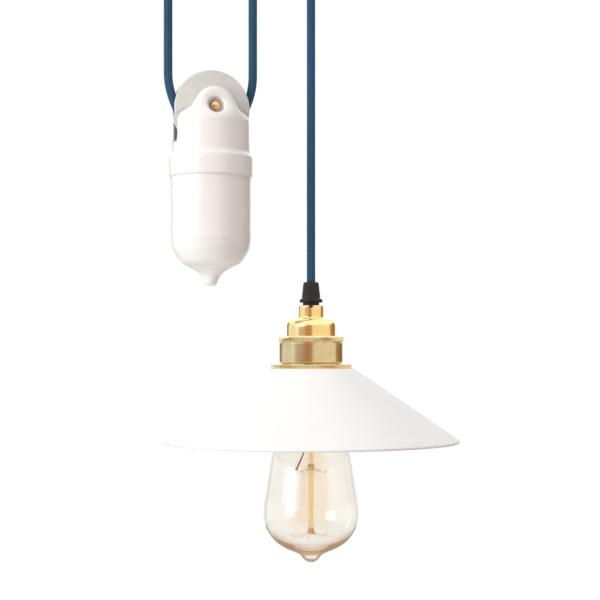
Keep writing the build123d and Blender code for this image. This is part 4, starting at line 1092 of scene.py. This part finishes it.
class PENDANT_OT_holder(bpy.types.Operator):
    """Brass cap, knurled union ring, barrel with its shade thread, knurled disc and shade ring"""
    bl_idname = "pendant.holder"
    bl_label = "Lampholder"

    def execute(self, context):
        brass = context.scene.pendant_holder
        bore = brass.thread_r + 0.05 * MM
        self.cap(brass)
        self.set_screw()
        self.union_ring(brass, bore)
        self.barrel(brass)
        self.shade_disc(brass, bore)
        self.shade_ring(brass, bore)
        return {"FINISHED"}

    def cap(self, brass):
        """Neck and domed cap of one sheet, with a notch for the set screw in the neck's top edge."""
        cap_top, lip = top("holder_cap"), bottom("holder_cap")
        cap_base = cap_top - brass.neck_h
        entry = 4.85 * MM
        lip_r = 19.2 * MM
        inner = brass.cap_r - brass.sheet
        outline = rounded([
            (entry, cap_top, 0.2 * MM), (brass.neck_r, cap_top, 0.6 * MM),
            (brass.neck_r, cap_base, 0.7 * MM),
            (brass.cap_r, cap_base, brass.shoulder), (brass.cap_r, lip + brass.sheet, 0.2 * MM),
            (lip_r, lip + brass.sheet), (lip_r, lip), (inner, lip),
            (inner, cap_base - brass.sheet, brass.shoulder - brass.sheet), (entry, cap_base - brass.sheet),
        ], steps=10)
        mesh = turned("holder_cap_spun", dense(outline, 1.2 * MM), LAMP_X, 160)
        axis = Vector((LAMP_X, 0, cap_top + 0.3 * MM))
        mesh = bored(mesh, axis + SCREW_SIDE * 5.2 * MM, axis + SCREW_SIDE * 12 * MM, 2.0 * MM)
        piece("holder_cap_spun", mesh, "polished_brass", "lamp", ["holder_cap"])

    def set_screw(self):
        """Headless screw that points out of the neck's notch."""
        inner_end, outer_end, screw_r = 5.2 * MM, 7.7 * MM, 1.4 * MM
        low = Vector((LAMP_X, 0, top("holder_cap") - 1.5 * MM))
        lay = Matrix.Translation(low) @ SCREW_SIDE.to_track_quat("Z", "Y").to_matrix().to_4x4()
        outline = [(0, inner_end), (screw_r, inner_end), (screw_r, outer_end - 0.2 * MM),
                   (screw_r - 0.2 * MM, outer_end), (0, outer_end)]
        mesh = turned("neck_set_screw_turned", outline, 0.0, 32, closed=False, place=lay)
        piece("neck_set_screw_turned", mesh, "dark_screw", "lamp", ["neck_set_screw"])

    def union_ring(self, brass, bore):
        """Knurled ring that holds the cap's lip to the barrel."""
        high, low = top("union_ring"), bottom("union_ring")
        lip_r, roof = brass.cap_r + 0.2 * MM, high - 1.15 * MM
        outline = rounded([
            (lip_r, high), (brass.ring_r, high, 1.3 * MM), (brass.ring_r, low, 1.1 * MM), (bore, low),
            (bore, roof), (lip_r, roof),
        ])
        depth = 0.4 * MM
        teeth = knurl(brass.ring_teeth, brass.ring_r, depth, low + 0.2 * MM, high - 0.5 * MM)
        mesh = turned("union_ring_knurled", dense(outline, 0.5 * MM), LAMP_X, brass.ring_teeth * 6, teeth)
        darken(mesh, brass.ring_r, depth, low + 0.6 * MM, high - 1.0 * MM)
        piece("union_ring_knurled", mesh, "satin_brass", "lamp", ["union_ring"], "knurled_brass")

    def barrel(self, brass):
        """Smooth band over the shade's thread, with a shelf inside for the insulator."""
        upper, foot = top("holder_barrel"), bottom("holder_barrel")
        band_top = bottom("union_ring") - 0.5 * MM
        band_end = bottom("union_ring") - 13.4 * MM
        skirt = band_end - 1.1 * MM
        shelf = bottom("insulator")
        wall, shelf_r = 18.2 * MM, 15.8 * MM
        outline = rounded([
            (wall, upper), (brass.thread_r, upper), (brass.thread_r, band_top),
            (brass.barrel_r, band_top, 0.25 * MM), (brass.barrel_r, band_end, 0.3 * MM),
            (brass.barrel_r - 1.1 * MM, skirt), (brass.thread_r, skirt), (brass.thread_r, foot, 0.4 * MM),
            (wall, foot), (wall, shelf - 1.5 * MM), (shelf_r, shelf - 1.5 * MM), (shelf_r, shelf),
            (wall, shelf),
        ])

        def thread(angle, r, z):
            """Round-crested helical thread below the band."""
            on = (np.abs(r - brass.thread_r) < 0.05 * MM) * (z < skirt - 0.5 * MM) * (z > foot + 0.5 * MM)
            return -0.45 * MM * (0.5 - 0.5 * np.cos(2 * math.pi * z / brass.thread_pitch - angle)) * on

        mesh = turned("holder_barrel_turned", dense(outline, 0.35 * MM), LAMP_X, 160, thread)
        piece("holder_barrel_turned", mesh, "satin_brass", "lamp", ["holder_barrel"])

    def shade_disc(self, brass, bore):
        """Wide knurled disc that clamps the shade from above."""
        high, low = top("shade_disc"), bottom("shade_disc")
        edge, depth = 0.5 * MM, 0.55 * MM
        disc_r = brass.disc_r
        outline = rounded([(bore, high), (disc_r, high, edge), (disc_r, low, edge), (bore, low)])
        teeth = knurl(brass.disc_teeth, disc_r, depth, low, high)
        mesh = turned("shade_disc_knurled", dense(outline, 0.4 * MM), LAMP_X, brass.disc_teeth * 8, teeth)
        darken(mesh, disc_r, depth, low + 0.2 * MM, high - 0.2 * MM)
        piece("shade_disc_knurled", mesh, "satin_brass", "lamp", ["shade_disc"], "knurled_brass")

    def shade_ring(self, brass, bore):
        """Narrow knurled ring that clamps the shade from below."""
        high, low = top("shade_ring"), bottom("shade_ring")
        ring_r = brass.thread_r + 4.75 * MM
        outline = rounded([(bore, high), (ring_r, high, 0.4 * MM), (ring_r, low, 0.6 * MM), (bore, low)])
        teeth = knurl(brass.disc_teeth, ring_r, 0.4 * MM, low, high)
        mesh = turned("shade_ring_knurled", dense(outline, 0.4 * MM), LAMP_X, brass.disc_teeth * 8, teeth)
        piece("shade_ring_knurled", mesh, "satin_brass", "lamp", ["shade_ring"])


class PENDANT_OT_shade(bpy.types.Operator):
    """Enamelled cone shade with a rolled hem"""
    bl_idname = "pendant.shade"
    bl_label = "Shade"

    def execute(self, context):
        cone = context.scene.pendant_shade
        flat = top("shade")
        rim = flat - cone.drop
        hole = 20.15 * MM
        spread = cone.rim_r - cone.top_r
        slope = math.hypot(spread, cone.drop)
        across = Vector((-cone.drop, -spread)) / slope * cone.sheet
        start = math.atan2(spread, cone.drop)
        hem_centre = Vector((cone.rim_r - cone.hem_r, rim - cone.hem_r + 0.3 * MM))
        outside = Vector((cone.rim_r, rim)) - 1.6 * MM * Vector((spread, -cone.drop)) / slope
        hem = [hem_centre + cone.hem_r * Vector((math.cos(a), math.sin(a)))
               for a in (start - math.radians(24 * k) for k in range(11))]
        outline = [
            (hole, flat), (cone.top_r, flat, 1.5 * MM), tuple(outside), *[tuple(p) for p in hem],
            tuple(outside + across), (cone.top_r + across.x / 2, flat - cone.sheet, 1.0 * MM),
            (hole, flat - cone.sheet),
        ]
        mesh = turned("shade_enamelled", dense(rounded(outline), 4 * MM), LAMP_X, 256, sharp=60.0)
        piece("shade_enamelled", mesh, "white_enamel", "lamp", ["shade"])
        return {"FINISHED"}


# ---- Bulb ----

# Half outline of the envelope: radius and height below the cap's edge, in millimetres.
ENVELOPE = [
    (12.45, 0.0), (14.6, 8.0), (19.6, 22.0), (25.6, 37.0), (29.2, 58.0), (31.9, 77.0), (30.9, 87.0),
    (27.2, 94.0), (23.2, 98.4), (17.2, 102.3), (11.8, 104.6), (8.2, 106.3), (6.4, 107.9), (4.9, 109.8),
    (2.8, 111.4), (0.0, 112.2),
]


def spot(bulb, radius, index, z):
    """Place on a ring round the bulb's axis; index counts the cage's posts."""
    a = 2 * math.pi * index / bulb.posts
    return (LAMP_X + radius * math.cos(a), radius * math.sin(a), z)


class PENDANT_OT_bulb(bpy.types.Operator):
    """Amber envelope, screw cap, glass stem, support hooks, cage filament and lead wires"""
    bl_idname = "pendant.bulb"
    bl_label = "Bulb"

    def execute(self, context):
        bulb = context.scene.pendant_bulb
        edge = bottom("bulb_cap")
        upper_z, lower_z = edge - 51.5 * MM, edge - 94.6 * MM
        self.envelope(bulb, edge)
        self.cap(bulb, edge)
        self.stem(bulb, edge, upper_z, lower_z)
        self.hooks(bulb, upper_z, lower_z)
        self.cage(bulb, upper_z, lower_z)
        self.leads(bulb, edge, upper_z)
        return {"FINISHED"}

    def envelope(self, bulb, edge):
        """Blown glass with its inner wall set in by the glass's thickness."""
        outer = flowing([(r * MM, edge - d * MM) for r, d in ENVELOPE], 8)
        p = np.array(outer)
        along = np.gradient(p, axis=0)
        along /= np.linalg.norm(along, axis=1)[:, None]
        inner = p + bulb.glass * np.stack([along[:, 1], -along[:, 0]], -1)
        inner = [(max(float(r), 0.0), float(z)) for r, z in inner[:-1]]
        inner.append((0.0, outer[-1][1] + bulb.glass))
        neck = 4 * MM
        outline = [(outer[0][0], edge + neck)] + outer + inner[::-1] + [(inner[0][0], edge + neck)]
        mesh = turned("bulb_glass_blown", outline, LAMP_X, 128, sharp=80.0)
        glass = piece("bulb_glass_blown", mesh, "amber_glass", "bulb", ["bulb_glass"])
        glass.visible_shadow = False

    def cap(self, bulb, low):
        """Rolled screw cap, open where the glass goes in."""
        high = top("bulb_cap")
        crown = high - 2.5 * MM
        r, wall = bulb.cap_r, 0.5 * MM
        cap = rounded([(0, high), (r - 3 * MM, high, 1.0 * MM), (r - 0.5 * MM, crown, 1.0 * MM),
                       (r, crown - 3 * MM), (r, low + 5 * MM), (r, low), (r - wall, low),
                       (r - wall, low + 5 * MM), (r - 4 * wall, low + 5.5 * MM),
                       (r - 4 * wall, crown - wall), (0, high - wall)], closed=False)

        def thread(angle, radius, z):
            """Rolled round thread."""
            fade = np.clip(np.minimum(z - low - 5 * MM, crown - 2 * MM - z) / (1.5 * MM), 0, 1)
            on = (radius > r - 0.4 * MM) * fade
            return -0.75 * MM * (0.5 - 0.5 * np.cos(2 * math.pi * z / bulb.cap_pitch - angle)) * on

        mesh = turned("bulb_cap_rolled", dense(cap, 0.4 * MM, False), LAMP_X, 96, thread, closed=False)
        piece("bulb_cap_rolled", mesh, "bulb_cap_metal", "bulb", ["bulb_cap"])

    def stem(self, bulb, edge, upper_z, lower_z):
        """Glass stem: a flare in the neck, drawn out to the rod that carries the cage."""
        rod_r, flare = bulb.rod_r, 11.6 * MM
        rod_end = edge - 93.0 * MM
        outline = flowing([
            (0, edge + 2 * MM), (flare, edge + 2 * MM), (flare * 0.72, edge - 4 * MM),
            (5.0 * MM, edge - 14 * MM), (3.3 * MM, edge - 24 * MM), (rod_r * 1.15, edge - 30 * MM),
            (rod_r, edge - 38 * MM), (rod_r, upper_z + 6 * MM), (rod_r * 1.35, upper_z + 2.5 * MM),
            (rod_r, upper_z - 1 * MM), (rod_r * 0.95, lower_z + 14 * MM), (rod_r, rod_end + 4 * MM),
            (rod_r * 1.25, rod_end + 1.5 * MM), (rod_r, rod_end), (0, rod_end - 0.4 * MM),
        ], 6)
        mesh = turned("bulb_stem_drawn", outline, LAMP_X, 48, closed=False, sharp=80.0)
        piece("bulb_stem_drawn", mesh, "stem_glass", "bulb", ["bulb_stem"])

    def hooks(self, bulb, upper_z, lower_z):
        """A ring of hooks at each end of the cage, and the bead that holds the lower ones."""
        # Height, first post, reach, sag and rise of the root over the tip.
        rings = (
            (upper_z, 0.0, 10.5 * MM, 1.6 * MM, 3.0 * MM),
            (lower_z, 0.5, 14.0 * MM, -0.8 * MM, 1.9 * MM),
        )
        lines = []
        for i in range(bulb.posts):
            for z, first, reach, sag, rise in rings:
                post, root = i + first, z + rise
                lines.append(centreline([
                    spot(bulb, bulb.rod_r * 1.35, post, root),
                    spot(bulb, reach * 0.35, post, root - 1.2 * MM),
                    spot(bulb, reach * 0.62, post + 0.05, z + 0.4 * MM),
                    spot(bulb, reach * 0.9, post, z - 0.2 * sag),
                    spot(bulb, reach, post, z),
                    spot(bulb, reach + 0.9 * MM, post, z + 1.1 * MM),
                    spot(bulb, reach + 0.1 * MM, post + 0.02, z + 2.0 * MM),
                ], 0.35 * MM))
        bead_r, bead_h, bead_round = 2.7 * MM, 1.6 * MM, 0.6 * MM
        outline = rounded([(0, 0), (bead_r, 0, bead_round), (bead_r, bead_h, bead_round), (0, bead_h)],
                          closed=False)
        lay = Matrix.Translation((LAMP_X, 0, lower_z + 1.2 * MM))
        bead = turned("bead", outline, 0.0, 24, closed=False, place=lay)
        mesh = joined("filament_hooks", [tube("hook", line, bulb.wire, 8) for line in lines] + [bead])
        piece("filament_hooks", mesh, "support_wire", "bulb", ["filament_supports"])

    def cage(self, bulb, upper_z, lower_z):
        """Carbon thread, down and up between the hooks, each run a little bowed."""
        upper_r, lower_r = 10.6 * MM, 14.1 * MM
        lines = []
        for i in range(bulb.posts):
            upper = spot(bulb, upper_r, i + 0.04, upper_z)
            lower = spot(bulb, lower_r, i + 0.46, lower_z)
            bow = [(a + b) / 2 for a, b in zip(upper, lower)]
            bow[0] += 0.6 * MM * math.sin(3.1 * i)
            bow[1] += 0.6 * MM * math.cos(2.3 * i)
            lines.append(centreline([upper, bow, lower], 0.8 * MM))
            if i < bulb.posts - 1:
                upper = spot(bulb, upper_r, i + 0.96, upper_z)
                lower = spot(bulb, lower_r, i + 0.54, lower_z)
                bow = [(a + b) / 2 for a, b in zip(upper, lower)]
                bow[0] += 0.5 * MM * math.cos(1.7 * i)
                lines.append(centreline([lower, bow, upper], 0.8 * MM))
        mesh = joined("filament_cage", [tube("strand", line, bulb.filament, 6) for line in lines])
        piece("filament_cage", mesh, "filament_carbon", "bulb", ["filament"])

    def leads(self, bulb, edge, upper_z):
        """A thin lead behind the rod, and a thick one beside it that swells to a drop at its end."""
        wires = []
        for post, radius, swelling in ((1.7, 0.1 * MM, 0.0), (bulb.posts / 2, 0.3 * MM, 1.0)):
            line = centreline([
                spot(bulb, 2.6 * MM, post, edge - 26 * MM), spot(bulb, 3.4 * MM, post, edge - 33 * MM),
                spot(bulb, 5.4 * MM, post, edge - 40 * MM), spot(bulb, 10.5 * MM, post, upper_z + 1.0 * MM),
            ], 0.5 * MM)
            share = np.linspace(0, 1, len(line))
            extra = 0.25 * MM * share + 0.45 * MM * np.exp(-((share - 0.97) / 0.03) ** 2)
            extra *= swelling
            reach = np.concatenate([[0.0], np.cumsum(np.linalg.norm(np.diff(line, axis=0), axis=1))])
            wires.append(tube("lead", line, radius, 12,
                              lambda turn, d, s=reach, e=extra: np.interp(d, s, e) + 0.0 * turn))
        mesh = joined("lead_wires_bent", wires)
        piece("lead_wires_bent", mesh, "support_wire", "bulb", ["lead_wires"], "lead_copper")


# ---- What the frame already shapes ----

class PENDANT_OT_finishes(bpy.types.Operator):
    """Finishes for the fitting, fasteners and inner pieces that keep the frame's own shape"""
    bl_idname = "pendant.finishes"
    bl_label = "Finishes"

    def execute(self, context):
        slots = {part["node"]: part["material_slot"] for part in frame["record"]["subparts"]}
        for node, thing in frame["nodes"].items():
            if thing.hide_render:
                continue
            thing.data.materials.clear()
            thing.data.materials.append(finish(slots[node]))
        return {"FINISHED"}


class PENDANT_PT_panel(bpy.types.Panel):
    """Lists the steps that build the lamp"""
    bl_label = "Pendant lamp"
    bl_idname = "PENDANT_PT_panel"
    bl_space_type = "VIEW_3D"
    bl_region_type = "UI"
    bl_category = "Pendant"

    def draw(self, context):
        for step in STEPS:
            self.layout.operator(step.bl_idname)
        for name in SETTINGS:
            settings = getattr(context.scene, name)
            box = self.layout.box()
            for key in settings.bl_rna.properties.keys():
                if key not in ("rna_type", "name"):
                    box.prop(settings, key)


SETTINGS = {
    "pendant_flex": FlexSettings,
    "pendant_porcelain": PorcelainSettings,
    "pendant_wheel": WheelSettings,
    "pendant_holder": HolderSettings,
    "pendant_shade": ShadeSettings,
    "pendant_bulb": BulbSettings,
}
STEPS = (PENDANT_OT_stage, PENDANT_OT_flex, PENDANT_OT_counterweight, PENDANT_OT_wheels, PENDANT_OT_grips,
         PENDANT_OT_holder, PENDANT_OT_shade, PENDANT_OT_bulb, PENDANT_OT_finishes)


def register():
    for name, settings in SETTINGS.items():
        bpy.utils.register_class(settings)
        setattr(bpy.types.Scene, name, PointerProperty(type=settings))
    for step in STEPS:
        bpy.utils.register_class(step)
    bpy.utils.register_class(PENDANT_PT_panel)


def unregister():
    bpy.utils.unregister_class(PENDANT_PT_panel)
    for step in reversed(STEPS):
        bpy.utils.unregister_class(step)
    for name, settings in SETTINGS.items():
        delattr(bpy.types.Scene, name)
        bpy.utils.unregister_class(settings)


def main():
    """Build everything in order."""
    register()
    for step in STEPS:
        group, name = step.bl_idname.split(".")
        getattr(getattr(bpy.ops, group), name)()


if __name__ == "__main__":
    main()
